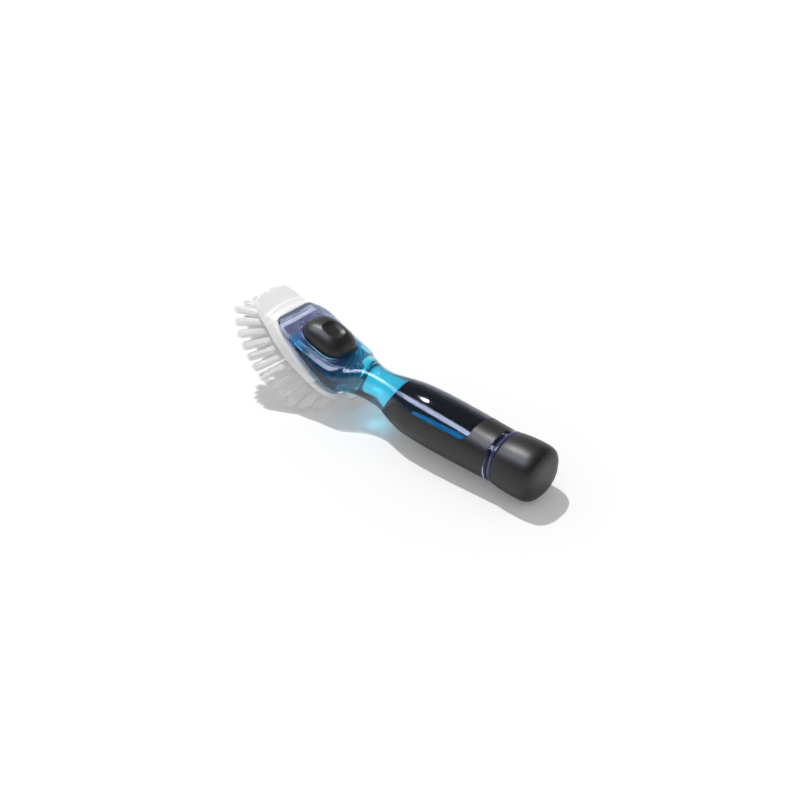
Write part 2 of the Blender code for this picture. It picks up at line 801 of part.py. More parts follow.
def field_outline(start, end, grow=0.0):
    """Outline of one slice of the backing between two places along the head."""
    places = np.linspace(start, end, 5 if end - start < 40 else 17)
    right = [(x, field_half(x) + grow) for x in places]
    left = [(x, -y) for x, y in reversed(right)]
    return right + left


def field_half(forward):
    return base_half_at(forward + bow_at(forward)) - skirt_wall - seat_gap


def tuft_places():
    """Row by row, the roots of the tufts and how far they lean forward and out."""
    tufts = []
    reach = field_front - field_rear
    for row in range(tuft_rows):
        forward = field_rear + reach * (row + 0.5) / tuft_rows
        edge = min(field_half(forward - 2.2), field_half(forward + 2.2)) - 2.3
        count = max(2, round(2 * edge / tuft_pitch) + 1)
        share = row / (tuft_rows - 1)
        lean = tuft_lean_front * share**1.45
        splay = tuft_side_splay / base_half * (1 - 0.6 * share**10)
        for k in range(count):
            across = edge * (2 * k / (count - 1) - 1)
            if math.hypot(forward - nozzle_place, across) > nozzle_radius + 3.0:
                tufts.append((forward, across, lean, splay * across))
    return tufts


def strand_at(root_x, root_y, direction, place):
    """Triangular strand: its root points on the backing and its tip points, cut flat at the table."""
    bottom = backing_top - backing
    radius = strand_width / math.sqrt(3)
    root, tip = [], []
    world = place.to_3x3() @ direction
    for k in range(3):
        angle = 2 * math.pi * k / 3
        start = Vector((root_x + radius * math.cos(angle), root_y + radius * math.sin(angle), bottom))
        length = strand_length
        height = (place @ start).z
        if height + world.z * length < 0:
            length = -height / world.z
        root.append(start)
        tip.append(start + direction * length)
    return root, tip


def build_field(index, start, end, head, material, tufts):
    """Slice of the backing with its strands, in one closed body."""
    shell = bmesh.new()
    top_z = backing_top
    bottom_z = top_z - backing
    outline = field_outline(start, end)
    upper = [shell.verts.new(Vector((x, y, top_z))) for x, y in outline]
    lower = [shell.verts.new(Vector((x, y, bottom_z))) for x, y in outline]
    for i in range(len(outline)):
        n = (i + 1) % len(outline)
        shell.faces.new((upper[i], upper[n], lower[n], lower[i]))
    loops_low = [[shell.edges.get((lower[i], lower[(i + 1) % len(lower)])) for i in range(len(lower))]]
    loops_up = [[shell.edges.get((upper[i], upper[(i + 1) % len(upper)])) for i in range(len(upper))]]
    if start < nozzle_place < end:
        sides = 14
        round_hole = [(nozzle_place + (nozzle_radius + run_gap) * math.cos(2 * math.pi * i / sides),
                       (nozzle_radius + run_gap) * math.sin(2 * math.pi * i / sides)) for i in range(sides)]
        high = [shell.verts.new((x, y, top_z)) for x, y in round_hole]
        low = [shell.verts.new((x, y, bottom_z)) for x, y in round_hole]
        for i in range(sides):
            n = (i + 1) % sides
            shell.faces.new((high[n], high[i], low[i], low[n]))
        loops_up.append([shell.edges.get((high[i], high[(i + 1) % sides])) for i in range(sides)])
        loops_low.append([shell.edges.get((low[i], low[(i + 1) % sides])) for i in range(sides)])
    for forward, across, lean, splay in tufts:
        for strand in range(strands_in_tuft):
            angle = 2 * math.pi * strand / strands_in_tuft
            dx, dy = math.cos(angle), math.sin(angle)
            spread = (tuft_tip_spread - tuft_root_spread) / strand_length
            direction = Vector((lean + dx * spread, splay + dy * spread, -1.0)).normalized()
            root, tip = strand_at(forward + dx * tuft_root_spread, across + dy * tuft_root_spread,
                                  direction, head_place)
            a = [shell.verts.new(p) for p in root]
            b = [shell.verts.new(p) for p in tip]
            for i in range(3):
                n = (i + 1) % 3
                shell.faces.new((a[i], a[n], b[n], b[i]))
            shell.faces.new(b)
            loops_low.append([shell.edges.get((a[i], a[(i + 1) % 3])) for i in range(3)])
    fill_between(shell, loops_up)
    fill_between(shell, loops_low)
    bmesh.ops.recalc_face_normals(shell, faces=shell.faces)
    bmesh.ops.scale(shell, vec=(MM, MM, MM), verts=shell.verts)
    mesh = bpy.data.meshes.new(f"bristles_{index}")
    shell.to_mesh(mesh)
    shell.free()
    mesh.materials.append(material)
    thing = bpy.data.objects.new(f"bristles_{index}", mesh)
    bpy.context.collection.objects.link(thing)
    thing.parent = head
    return thing


def build_bristles(head, material):
    slices = 4
    tufts = tuft_places()
    rows_each = (field_front - field_rear) / slices
    for index in range(slices):
        start = field_rear + index * rows_each + (field_gap / 2 if index else 0)
        end = field_rear + (index + 1) * rows_each - (field_gap / 2 if index < slices - 1 else 0)
        build_field(index + 1, start, end, head, material, [t for t in tufts if start < t[0] < end])


# Cap, in the handle's frame turned so that Z runs along the axis towards the cap's end
def cap_ring(distance, half_width, half_height, bend=2.25, lift=0.0):
    ring = []
    for j in range(ring_points):
        across, up = superellipse(2 * math.pi * (j + 0.5) / ring_points, bend)
        ring.append((-half_height * up - lift, half_width * across, distance))
    return ring


def build_cap(axis, clear, black, rubber):
    half, tall = cap_width / 2, cap_height / 2
    bore = mouth_bore - run_gap
    socket = bore + 1.4
    cap = mesh_object("cap_cover", *loft([
        cap_ring(cap_start, half - 1.0, tall - 1.8),
        cap_ring(cap_start + 1.0, half - 0.7, tall - 1.4),
        cap_ring(cap_start + 7.0, half - 0.2, tall - 0.5),
        cap_ring(cap_start + 13.0, half, tall - 0.1),
        cap_ring(cap_touch, half, tall),
        cap_ring(cap_start + 22.5, half - 0.35, tall - 0.3),
        cap_ring(cap_start + 26.0, half - 1.4, tall - 1.2, 2.35),
        cap_ring(cap_start + 28.3, half - 3.2, tall - 2.9, 2.4),
        cap_ring(cap_start + 29.6, half - 5.5, tall - 5.1, 2.4),
        cap_ring(cap_end - 0.3, half - 8.2, tall - 7.7, 2.35),
        cap_ring(cap_end, half - 11.6, tall - 11.0, 2.25),
    ]), black, axis)
    hollow = turned([(0, cap_start - 1.0), (socket + seat_gap, cap_start - 1.0),
                     (socket + seat_gap, cap_start + 12.0), (0, cap_start + 12.0)], 28)
    combine(cap, cutter("cap_hollow", *hollow, axis))
    flange = mesh_object("cap_insert", *loft([
        cap_ring(flange_start, half - 1.5, tall - 2.2),
        cap_ring(flange_start + 0.5, half - 1.1, tall - 1.8),
        cap_ring(flange_end - 0.5, half - 1.1, tall - 1.8),
        cap_ring(flange_end, half - 1.4, tall - 2.1),
    ]), clear, axis)
    plug_end = collar_end - mouth_depth + 4.0
    groove = plug_end + 2.5
    plug = turned([(0, flange_end - 0.8), (bore - 1.6, flange_end - 0.8), (bore - 1.6, plug_end), (bore, plug_end),
                   (bore, groove), (bore - 1.0, groove), (bore - 1.0, groove + 1.8), (bore, groove + 1.8),
                   (bore, flange_end - 0.5), (socket, flange_end - 0.5), (socket, cap_start + 11.0),
                   (socket - 1.6, cap_start + 11.0), (socket - 1.6, flange_end + 0.6), (0, flange_end + 0.6)], 28)
    combine(flange, cutter("insert_plug", *plug, axis), "UNION")
    inner = turned([(0, plug_end - 1.0), (bore - 1.6, plug_end - 1.0), (bore - 1.6, flange_start + 0.8),
                    (0, flange_start + 0.8)], 28)
    combine(flange, cutter("insert_hollow", *inner, axis))
    ring = turned([(bore - 0.9, groove + 0.1), (bore + 0.1, groove + 0.1), (bore + 0.3, groove + 0.9),
                   (bore + 0.1, groove + 1.7), (bore - 0.9, groove + 1.7)], 28)
    mesh_object("cap_seal", *ring, rubber, axis)


def main():
    clear_scene()
    root = bpy.data.objects.new("brush_frame", None)
    bpy.context.collection.objects.link(root)
    root.location = (frame_shift * MM, 0, 0)
    deck_x, deck_z = on_head(button_centre, deck_height(button_centre))
    head = frame("head_frame", head_place, root)
    deck = frame("deck_frame", Matrix.Translation((deck_x, 0, deck_z)) @ rotation(deck_tilt) @ half_turn, root)
    axis = frame("cap_axis", handle_place @ turn_to_axis(), root)
    clear = make_material("clear_lilac", (0.55, 0.62, 0.82), 0.05, alpha=0.4)
    black = make_material("soft_black", (0.02, 0.02, 0.022), 0.6)
    white = make_material("white_plastic", (0.85, 0.86, 0.87), 0.35)
    nylon = make_material("white_nylon", (0.9, 0.9, 0.9), 0.5)
    lilac = make_material("lilac_plastic", (0.4, 0.42, 0.66), 0.2)
    rubber = make_material("grey_rubber", (0.2, 0.21, 0.24), 0.7)
    steel = make_material("spring_steel", (0.6, 0.6, 0.62), 0.3, 1.0)
    pale = make_material("pale_tab", (0.8, 0.84, 0.86), 0.3)
    build_clear_body(root, clear, deck)
    build_grip(root, black)
    build_button(deck, root, black)
    build_button_core(deck, lilac)
    build_piston(deck, lilac, rubber)
    build_cylinder(deck, head, lilac)
    build_spring(deck, steel)
    build_guide(deck, root, lilac)
    build_valves(deck, head, rubber, lilac)
    build_floor(head, root, lilac)
    build_head_base(head, root, white)
    build_release_tab(head, pale)
    build_bristles(head, nylon)
    build_cap(axis, clear, black, rubber)


main()
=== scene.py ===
import math
import random

import bmesh
import bpy
from mathutils import Matrix, Vector


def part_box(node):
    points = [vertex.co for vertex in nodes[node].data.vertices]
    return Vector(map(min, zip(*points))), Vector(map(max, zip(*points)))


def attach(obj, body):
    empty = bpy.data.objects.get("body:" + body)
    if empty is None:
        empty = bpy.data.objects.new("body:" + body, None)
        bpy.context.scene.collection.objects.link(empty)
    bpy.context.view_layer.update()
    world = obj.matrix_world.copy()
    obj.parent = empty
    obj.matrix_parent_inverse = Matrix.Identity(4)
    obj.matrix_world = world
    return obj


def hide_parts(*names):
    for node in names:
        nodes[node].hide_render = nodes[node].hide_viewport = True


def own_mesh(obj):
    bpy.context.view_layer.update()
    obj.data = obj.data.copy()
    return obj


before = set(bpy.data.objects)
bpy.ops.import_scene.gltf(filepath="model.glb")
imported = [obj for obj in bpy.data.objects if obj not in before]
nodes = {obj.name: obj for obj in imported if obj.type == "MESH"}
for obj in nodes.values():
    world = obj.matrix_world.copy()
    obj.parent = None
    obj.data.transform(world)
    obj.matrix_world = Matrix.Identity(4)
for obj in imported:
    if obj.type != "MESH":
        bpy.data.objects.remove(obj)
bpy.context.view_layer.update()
mm = 0.001


# An output socket that takes arithmetic
class Wire:
    def __init__(self, paint, socket):
        self.paint, self.socket = paint, socket

    def __add__(self, other):
        return self.paint.math("ADD", self, other)

    def __radd__(self, other):
        return self.paint.math("ADD", other, self)

    def __sub__(self, other):
        return self.paint.math("SUBTRACT", self, other)

    def __rsub__(self, other):
        return self.paint.math("SUBTRACT", other, self)

    def __mul__(self, other):
        return self.paint.math("MULTIPLY", self, other)

    def __rmul__(self, other):
        return self.paint.math("MULTIPLY", other, self)


# A material, or the sky, and the one method that adds its nodes
class Paint:
    def __init__(self, name, owner=None):
        self.owner = owner or bpy.data.materials.new(name)
        self.owner.use_nodes = True
        self.tree = self.owner.node_tree
        self.tree.nodes.clear()

    def add(self, kind, settings=None, inputs=None, output=0):
        node = self.tree.nodes.new(kind)
        for key, value in (settings or {}).items():
            setattr(node, key, value)
        for key, value in (inputs or {}).items():
            if isinstance(value, Wire):
                self.tree.links.new(value.socket, node.inputs[key])
            elif isinstance(value, tuple) and len(value) == 3 and node.inputs[key].type == "RGBA":
                node.inputs[key].default_value = (*value, 1)
            else:
                node.inputs[key].default_value = value
        return Wire(self, node.outputs[output] if len(node.outputs) else None)

    def finish(self, surface, volume=None):
        inputs = {"Surface": surface}
        if volume:
            inputs["Volume"] = volume
        self.add("ShaderNodeOutputMaterial", None, inputs)
        return self.owner

    def math(self, operation, a, b=0.0):
        return self.add("ShaderNodeMath", {"operation": operation}, {0: a, 1: b})

    def noise(self, scale, detail=3.0, stretch=(1, 1, 1)):
        spot = self.add("ShaderNodeTexCoord", None, None, "Object")
        spot = self.add("ShaderNodeMapping", None, {"Vector": spot, "Scale": stretch})
        return self.add("ShaderNodeTexNoise", None,
                        {"Vector": spot, "Scale": scale, "Detail": detail, "Roughness": 0.5}, "Fac")

    def ramp(self, value, low, high, start=0.0, end=1.0):
        return self.add("ShaderNodeMapRange", {"clamp": True}, {
            "Value": value, "From Min": low, "From Max": high, "To Min": start, "To Max": end})

    def mix(self, share, a, b):
        return self.add("ShaderNodeMix", {"data_type": "RGBA"}, {0: share, 6: a, 7: b}, 2)

    def bump(self, height, strength, depth):
        return self.add("ShaderNodeBump", None,
                        {"Height": height, "Strength": strength, "Distance": depth})

    # Distance in millimetres along one axis of a frame
    def along(self, turn, axis):
        row = turn.inverted()[axis]
        spot = self.add("ShaderNodeTexCoord", None, None, "Object")
        reach = self.add("ShaderNodeVectorMath", {"operation": "DOT_PRODUCT"},
                         {0: spot, 1: tuple(1000 * v for v in row[:3])}, "Value")
        return reach + row[3]

    # Lets tinted light through to what lies in the shadow, in patches where a size is given
    def lightThrough(self, surface, tint, patches=0):
        shadow = self.add("ShaderNodeLightPath", None, None, "Is Shadow Ray")
        if patches:
            shadow = shadow * self.ramp(self.noise(patches, 1.0), 0.47, 0.53, 0.2, 1.0)
        clear = self.add("ShaderNodeBsdfTransparent", None, {"Color": tint})
        return self.add("ShaderNodeMixShader", None, {0: shadow, 1: surface, 2: clear})


def dress(piece, material):
    piece.data.materials.clear()
    piece.data.materials.append(material)


def link(name, data):
    thing = bpy.data.objects.new(name, data)
    bpy.context.scene.collection.objects.link(thing)
    return thing


# Camera
cameraLook = {"azimuth": 41.11, "elevation": 35.45, "distance": 0.890, "lens": 56.57,
              "aim": (0.0066, 0, 0), "shift": (0.00515, 0.03275)}


def makeCamera():
    side, rise = math.radians(cameraLook["azimuth"]), math.radians(cameraLook["elevation"])
    away = Vector((math.sin(side) * math.cos(rise), -math.cos(side) * math.cos(rise), math.sin(rise)))
    data = bpy.data.cameras.new("camera")
    data.lens = cameraLook["lens"]
    data.sensor_width = 36
    data.shift_x, data.shift_y = cameraLook["shift"]
    data.clip_start = 0.05
    eye = link("camera", data)
    eye.location = Vector(cameraLook["aim"]) + away * cameraLook["distance"]
    eye.rotation_euler = (-away).to_track_quat("-Z", "Y").to_euler()
    bpy.context.scene.camera = eye
    print("camera set")


# Studio: sun, sky, a soft strip for the highlights, and a pale floor
studio = {"sunTravel": (0.55, -0.20, -1.0), "sunStrength": 2.25, "sunSize": 1.6,
          "skyStrength": 0.47, "overhead": 0.17, "horizon": 0.12, "skyFade": 0.3,
          "floorShade": 0.80, "floorLift": 0.14, "floorHalf": 4.0, "floorDrop": 0.0001,
          "stripFrom": (-0.42, -0.33, 0.85), "stripAway": 2.0, "stripSize": (1.5, 0.72),
          "stripGlow": 9.0, "stripTint": (0.78, 0.82, 1.0)}


def lightRays(paint, *names):
    rays = [paint.add("ShaderNodeLightPath", None, None, name) for name in names]
    while len(rays) > 1:
        rays = [paint.math("MAXIMUM", rays[0], rays[1]), *rays[2:]]
    return rays[0]


# White where the camera sees it, and darker overhead in reflections
def makeSky():
    bpy.context.scene.world = bpy.data.worlds.new("sky")
    sky = Paint("sky", bpy.context.scene.world)
    way = sky.add("ShaderNodeTexCoord", None, None, "Generated")
    height = sky.add("ShaderNodeSeparateXYZ", None, {0: way}, "Z")
    seen = lightRays(sky, "Is Camera Ray")
    mirrored = lightRays(sky, "Is Glossy Ray", "Is Transmission Ray") * (1.0 - seen)
    horizon, plain = studio["horizon"], studio["skyStrength"]
    rise = sky.ramp(height, horizon, horizon + studio["skyFade"], 1.0, studio["overhead"])
    strength = seen * (1.0 - plain) + mirrored * (rise - plain) + plain
    light = sky.add("ShaderNodeBackground", None, {"Color": (1, 1, 1), "Strength": strength})
    sky.add("ShaderNodeOutputWorld", None, {"Surface": light})


def makeLamp(name, kind, travel):
    lamp = link(name, bpy.data.lights.new(name, kind))
    lamp.rotation_euler = Vector(travel).to_track_quat("-Z", "Y").to_euler()
    return lamp


def makeFloor():
    mesh = bpy.data.meshes.new("floor")
    half = studio["floorHalf"]
    corners = [(-half, -half, 0), (half, -half, 0), (half, half, 0), (-half, half, 0)]
    mesh.from_pydata(corners, [], [(0, 1, 2, 3)])
    floor = link("floor", mesh)
    floor.location.z = -studio["floorDrop"]
    paint = Paint("paleFloor")
    shade = studio["floorShade"]
    plain = paint.add("ShaderNodeBsdfDiffuse", None, {"Color": (shade, shade, shade)})
    glow = lightRays(paint, "Is Camera Ray", "Is Glossy Ray") * studio["floorLift"]
    lift = paint.add("ShaderNodeEmission", None, {"Color": (1, 1, 1), "Strength": glow})
    near = paint.add("ShaderNodeAddShader", None, {0: plain, 1: lift})
    through = paint.add("ShaderNodeEmission", None, {"Color": (1, 1, 1), "Strength": 1.0})
    dress(floor, paint.finish(paint.add("ShaderNodeMixShader", None, {
        0: lightRays(paint, "Is Transmission Ray"), 1: near, 2: through})))


def makeStudio():
    bpy.context.scene.view_settings.view_transform = "Standard"
    makeSky()
    sun = makeLamp("sun", "SUN", studio["sunTravel"])
    sun.data.energy = studio["sunStrength"]
    sun.data.angle = math.radians(studio["sunSize"])

    # Long soft box over the handle, which shows only in reflections
    strip = makeLamp("strip", "AREA", (0, 0, -1))
    strip.data.shape = "RECTANGLE"
    strip.data.color = studio["stripTint"]
    strip.data.size, strip.data.size_y = studio["stripSize"]
    strip.data.energy = studio["stripGlow"] * math.pi * studio["stripSize"][0] * studio["stripSize"][1]
    strip.location = Vector(studio["stripFrom"]).normalized() * studio["stripAway"]
    strip.visible_diffuse = False
    makeFloor()
    print("studio set")


# The brush's own frames, in millimetres
pose = {"junction": (-29.8, 24.6), "headDrop": 6.4, "headTilt": 32.4, "handleTilt": 2.07165,
        "deckTilt": 18.3, "buttonCentre": 38.0}


def turnY(degrees):
    return Matrix.Rotation(math.radians(degrees), 4, "Y")


def moved(x, z=0.0):
    return Matrix.Translation((x, 0, z))


halfTurn = Matrix.Rotation(math.pi, 4, "Z")
startX, startZ = pose["junction"]
handleFrame = moved(startX, startZ) @ turnY(pose["handleTilt"])
headFrame = moved(startX, startZ - pose["headDrop"]) @ turnY(pose["headTilt"]) @ halfTurn
axisFrame = handleFrame @ turnY(90)

# Top line of the clear housing: forward and up in the head's frame
deckLine = [(72.8, 0.3), (72.5, 0.8), (71.0, 1.5), (68.0, 2.4), (61.3, 4.2), (48.8, 7.6),
            (34.4, 11.3), (21.6, 15.2), (14.7, 18.7), (9.9, 21.4)]


def between(points, x):
    points = sorted(points)
    if x <= points[0][0]:
        return points[0][1]
    for (xa, ya), (xb, yb) in zip(points, points[1:]):
        if x <= xb:
            return ya + (yb - ya) * (x - xa) / (xb - xa)
    return points[-1][1]


def onHandle(along, up):
    spot = handleFrame @ Vector((along, 0, up))
    return spot.x, spot.z


def onHead(forward, up):
    spot = headFrame @ Vector((forward, 0, up))
    return spot.x, spot.z


deckSpot = onHead(pose["buttonCentre"], between(deckLine, pose["buttonCentre"]))
deckFrame = moved(*deckSpot) @ turnY(pose["deckTilt"]) @ halfTurn


def superellipse(angle, bend):
    c, s = math.cos(angle), math.sin(angle)
    return math.copysign(abs(c) ** (2 / bend), c), math.copysign(abs(s) ** (2 / bend), s)


# Skin through rings of equal counts, with both ends closed or the last ring joined to the first
def skin(rings, closed=False):
    count = len(rings[0])
    points = [p for ring in rings for p in ring]
    faces = []
    spans = len(rings) if closed else len(rings) - 1
    for i in range(spans):
        n = (i + 1) % len(rings)
        for j in range(count):
            k = (j + 1) % count
            faces.append((i * count + j, i * count + k, n * count + k, n * count + j))
    if not closed:
        last = (len(rings) - 1) * count
        faces.append(tuple(reversed(range(count))))
        faces.append(tuple(range(last, last + count)))
    return points, faces


# Rings on a smooth curve through the given ones
def refine(rings, parts):
    result = []
    for i in range(len(rings) - 1):
        a, b = rings[i], rings[i + 1]
        before = rings[i - 1] if i else a
        after = rings[i + 2] if i + 2 < len(rings) else b
        for k in range(parts):
            t = k / parts
            ring = []
            for p, q, r, s in zip(before, a, b, after):
                p, q, r, s = Vector(p), Vector(q), Vector(r), Vector(s)
                ring.append(q + (r - p) * (t / 2) + (p * 2 - q * 5 + r * 4 - s) * (t * t / 2)
                            + (q * 3 - p + s - r * 3) * (t**3 / 2))
            result.append(ring)
    result.append([Vector(p) for p in rings[-1]])
    return result


# Piece from points in a frame's millimetres, smooth below an angle
def makePiece(name, points, faces, turn=Matrix(), smooth=35.0, fix=True):
    mesh = bpy.data.meshes.new(name)
    mesh.from_pydata([(turn @ Vector(p)) * mm for p in points], [], faces)
    if fix:
        shell = bmesh.new()
        shell.from_mesh(mesh)
        bmesh.ops.recalc_face_normals(shell, faces=shell.faces)
        shell.to_mesh(mesh)
        shell.free()
    mesh.shade_smooth()
    if smooth < 180:
        mesh.set_sharp_from_angle(angle=math.radians(smooth))
    return link(name, mesh)


def makeBlock(name, low, high, turn):
    corners = [(x, y, z) for x in (low[0], high[0]) for y in (low[1], high[1]) for z in (low[2], high[2])]
    faces = [(0, 1, 3, 2), (4, 6, 7, 5), (0, 4, 5, 1), (2, 3, 7, 6), (0, 2, 6, 4), (1, 5, 7, 3)]
    return makePiece(name, corners, faces, turn)


# Cuts a piece with another form, or joins it on, and drops that form
def cut(piece, tool, operation="DIFFERENCE"):
    step = piece.modifiers.new("cut", "BOOLEAN")
    step.operation, step.solver, step.object = operation, "MANIFOLD", tool
    bpy.context.view_layer.update()
    finished = piece.evaluated_get(bpy.context.evaluated_depsgraph_get())
    result = bpy.data.meshes.new_from_object(finished)
    piece.modifiers.clear()
    old = piece.data
    piece.data = result
    bpy.data.meshes.remove(old)
    bpy.data.objects.remove(tool)
    if not len(result.vertices):
        raise RuntimeError("nothing left of " + piece.name)


def soften(piece, degrees):
    piece.data.shade_smooth()
    piece.data.set_sharp_from_angle(angle=math.radians(degrees))


def place(piece, material, body, *solids, slot=None):
    dress(piece, material)
    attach(piece, body)
    if solids:
        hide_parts(*solids)


# Outer form of the clear body and the grip
form = {"points": 96, "step": 2.0, "front": 73.6, "lowEdge": -2.0, "bodyWall": 2.2, "gripWall": 2.3,
        "tubeWall": 2.0, "seatGap": 0.3, "gripStart": 25.2, "gripEnd": 127.4, "collarEnd": 130.7,
        "mouthBore": 13.4, "mouthDepth": 17.0, "openRun": 5.0, "openDepth": 3.0}
hiddenWall = form["gripWall"] + form["seatGap"] + form["tubeWall"]

# Housing, front to rear: forward at the lower edge, half width, bend of the top
housing = [(form["front"], 13.6, 3.4), (73.1, 15.4, 3.2), (71.6, 16.9, 3.0), (68.2, 18.9, 2.8),
           (61.0, 21.8, 2.6), (48.0, 23.6, 2.4), (34.0, 24.5, 2.4), (20.5, 25.0, 2.4),
           (12.5, 24.6, 2.3), (6.6, 22.0, 2.2)]

# Neck and handle: along the handle's axis, top, bottom, half width, wall
tubeLine = [(24.0, 17.2, -7.6, 12.3, form["bodyWall"]), (30.0, 17.3, -8.9, 12.8, form["bodyWall"]),
            (35.0, 17.8, -11.4, 13.9, 3.0), (40.5, 18.4, -13.7, 15.6, 3.8),
            (53.0, 19.6, -17.0, 18.6, hiddenWall), (66.0, 19.8, -17.8, 19.7, hiddenWall),
            (99.0, 18.7, -18.2, 20.0, hiddenWall),
            (form["gripEnd"] - 6.0, 17.2, -18.0, 19.6, hiddenWall),
            (form["collarEnd"], 16.9, -17.8, 19.5, hiddenWall)]


def housingSection(deck, forward, half, bend):
    height = deck[1] - form["lowEdge"]
    return [*onHead(*deck), *onHead(forward, form["lowEdge"]), half, min(4.0, 0.62 * height),
            bend, 7.0, form["bodyWall"]]


def tubeSection(along, top, bottom, half, wall):
    return [*onHandle(along, top), *onHandle(along, bottom), half, -bottom, 2.2, 2.2, wall]


# Each section: top x and z, bottom x and z, half width, height of the widest level,
# bend of the top and of the bottom, wall
def bodySections():
    wall = form["bodyWall"]
    neck = [[*onHandle(9.0, 18.3), *onHead(2.2, -1.7), 18.2, 6.0, 2.2, 4.0, wall],
            [*onHandle(13.2, 17.9), *onHead(-1.2, -0.2), 14.9, 9.5, 2.2, 2.8, wall],
            [*onHandle(18.0, 17.5), *onHandle(9.5, -8.2), 13.0, 10.5, 2.2, 2.3, wall]]
    return [*(housingSection(deck, *row) for deck, row in zip(deckLine, housing)), *neck,
            *(tubeSection(*row) for row in tubeLine)]


# Sections about a step apart, on smooth curves through the given ones
def smoothSections(rows, step):
    size = len(rows[0])
    run = [0.0]
    for a, b in zip(rows, rows[1:]):
        move = math.hypot((b[0] + b[2] - a[0] - a[2]) / 2, (b[1] + b[3] - a[1] - a[3]) / 2)
        run.append(run[-1] + move + 0.2)
    slopes = []
    for i, row in enumerate(rows):
        if i == 0:
            slopes.append([(rows[1][k] - row[k]) / run[1] for k in range(size)])
        elif i == len(rows) - 1:
            slopes.append([(row[k] - rows[i - 1][k]) / (run[i] - run[i - 1]) for k in range(size)])
        else:
            d, e = run[i] - run[i - 1], run[i + 1] - run[i]
            slopes.append([(d * d * (rows[i + 1][k] - row[k]) + e * e * (row[k] - rows[i - 1][k]))
                           / (d * e * (d + e)) for k in range(size)])
    result = []
    for i in range(len(rows) - 1):
        span = run[i + 1] - run[i]
        parts = max(2, round(span / step))
        for n in range(parts):
            t = n / parts
            a, b, c, d = (2 * t**3 - 3 * t * t + 1, t**3 - 2 * t * t + t,
                          3 * t * t - 2 * t**3, t**3 - t * t)
            result.append([a * rows[i][k] + b * span * slopes[i][k]
                           + c * rows[i + 1][k] + d * span * slopes[i + 1][k] for k in range(size)])
    result.append(rows[-1])
    return result


# Ring of a section, set in from its outline; drop lowers the bottom and lift raises the top
def ringOf(row, inset=0.0, drop=0.0, turn=0.5, lift=0.0):
    top, bottom = Vector((row[0], 0, row[1])), Vector((row[2], 0, row[3]))
    height = (top - bottom).length
    rise = (top - bottom) / height
    low, high = bottom + rise * (inset - drop), top - rise * (inset - lift)
    widest, half = row[5] / height, row[4] - inset
    ring = []
    for j in range(form["points"]):
        angle = 2 * math.pi * (j + turn) / form["points"]
        across, up = superellipse(angle, row[6] if math.sin(angle) >= 0 else row[7])
        level = widest + (1 - widest) * up if up >= 0 else widest * (1 + up)
        spot = low + (high - low) * level
        ring.append(Vector((spot.x, half * across, spot.z)))
    return ring


def alongHandle(row, low=0):
    return (handleFrame.inverted() @ Vector((row[low], 0, row[low + 1]))).x


def forwardOf(row):
    return (headFrame.inverted() @ Vector((row[2], 0, row[3]))).x


sections = bodySections()
rows = smoothSections(sections, form["step"])


def sectionAt(along):
    reach = [alongHandle(row) for row in rows]
    for a, b, low, high in zip(rows, rows[1:], reach, reach[1:]):
        if low <= along <= high:
            share = (along - low) / (high - low)
            return [p + (q - p) * share for p, q in zip(a, b)]
    return rows[-1]


def sleeve(start, end, outer, inner, turn):
    inside = [row for row in rows if start + 0.6 < alongHandle(row) < end - 0.6]
    span = [sectionAt(start), *inside, sectionAt(end)]
    rings = [ringOf(row, outer, turn=turn) for row in span]
    return skin(rings + [ringOf(row, inner, turn=turn) for row in span][::-1], True)


# Window of the grip, over the top of the handle
window = {"front": 42.0, "length": 69.0, "angle": 60.0, "corner": 7.0, "lean": 0.7, "ahead": 14.0,
          "outside": 1.25, "inside": 0.62}    # the block's reach, in half widths of the handle


def windowBlock(grow):
    front, rear = window["front"] - window["ahead"], window["front"] + window["length"] + grow
    corner = window["corner"] + grow
    places = [front + (rear - corner - front) * k / 24 for k in range(25)]
    places += [rear - corner * (1 - math.sin(math.radians(a))) for a in range(10, 90, 10)] + [rear]
    outside = []
    for spot in places:
        radius = sectionAt(spot)[4]
        past = max(0.0, spot - (rear - corner)) / corner
        edge = math.radians(window["angle"]) + grow / radius
        edge -= corner / radius * (1 - math.sqrt(max(0.0, 1 - past**2)))
        ring = []
        for reach, order in ((window["outside"], 1), (window["inside"], -1)):
            arc = []
            for j in range(37):
                angle = edge * (2 * j / 36 - 1)
                x, z = onHandle(spot, radius * reach * math.cos(angle))
                arc.append((x, radius * reach * math.sin(angle), z))
            ring += arc[::order]
        outside.append(ring)
    return makePiece("windowBlock", *skin(outside))


def frontBlock(grow):
    lean = math.atan(window["lean"])
    edge = window["front"] - grow / math.cos(lean)
    turn = handleFrame @ moved(edge, 4.0) @ turnY(math.degrees(lean))
    return makeBlock("frontBlock", (-80, -40, -80), (0, 40, 80), turn)


# Sleeve with its window: outer is how deep its skin lies, reach how far it goes past the grip's form
def gripForm(name, outer, reach, past=0.0, turn=0.5):
    piece = makePiece(name, *sleeve(form["gripStart"], form["gripEnd"] + past, outer,
                                    form["gripWall"] + reach, turn))
    cut(piece, windowBlock(-reach))
    cut(piece, frontBlock(reach))
    return piece


def oval(halfLength, halfWidth, height, shift=0.0, bend=3.0):
    ring = []
    for j in range(64):
        along, across = superellipse(2 * math.pi * (j + 0.5) / 64, bend)
        ring.append((shift + halfLength * along, halfWidth * across, height))
    return ring


def lathe(profile, steps=64):
    rings = []
    for radius, height in profile:
        angles = [2 * math.pi * j / steps for j in range(steps)]
        rings.append([(radius * math.cos(a), radius * math.sin(a), height) for a in angles])
    return skin(rings)


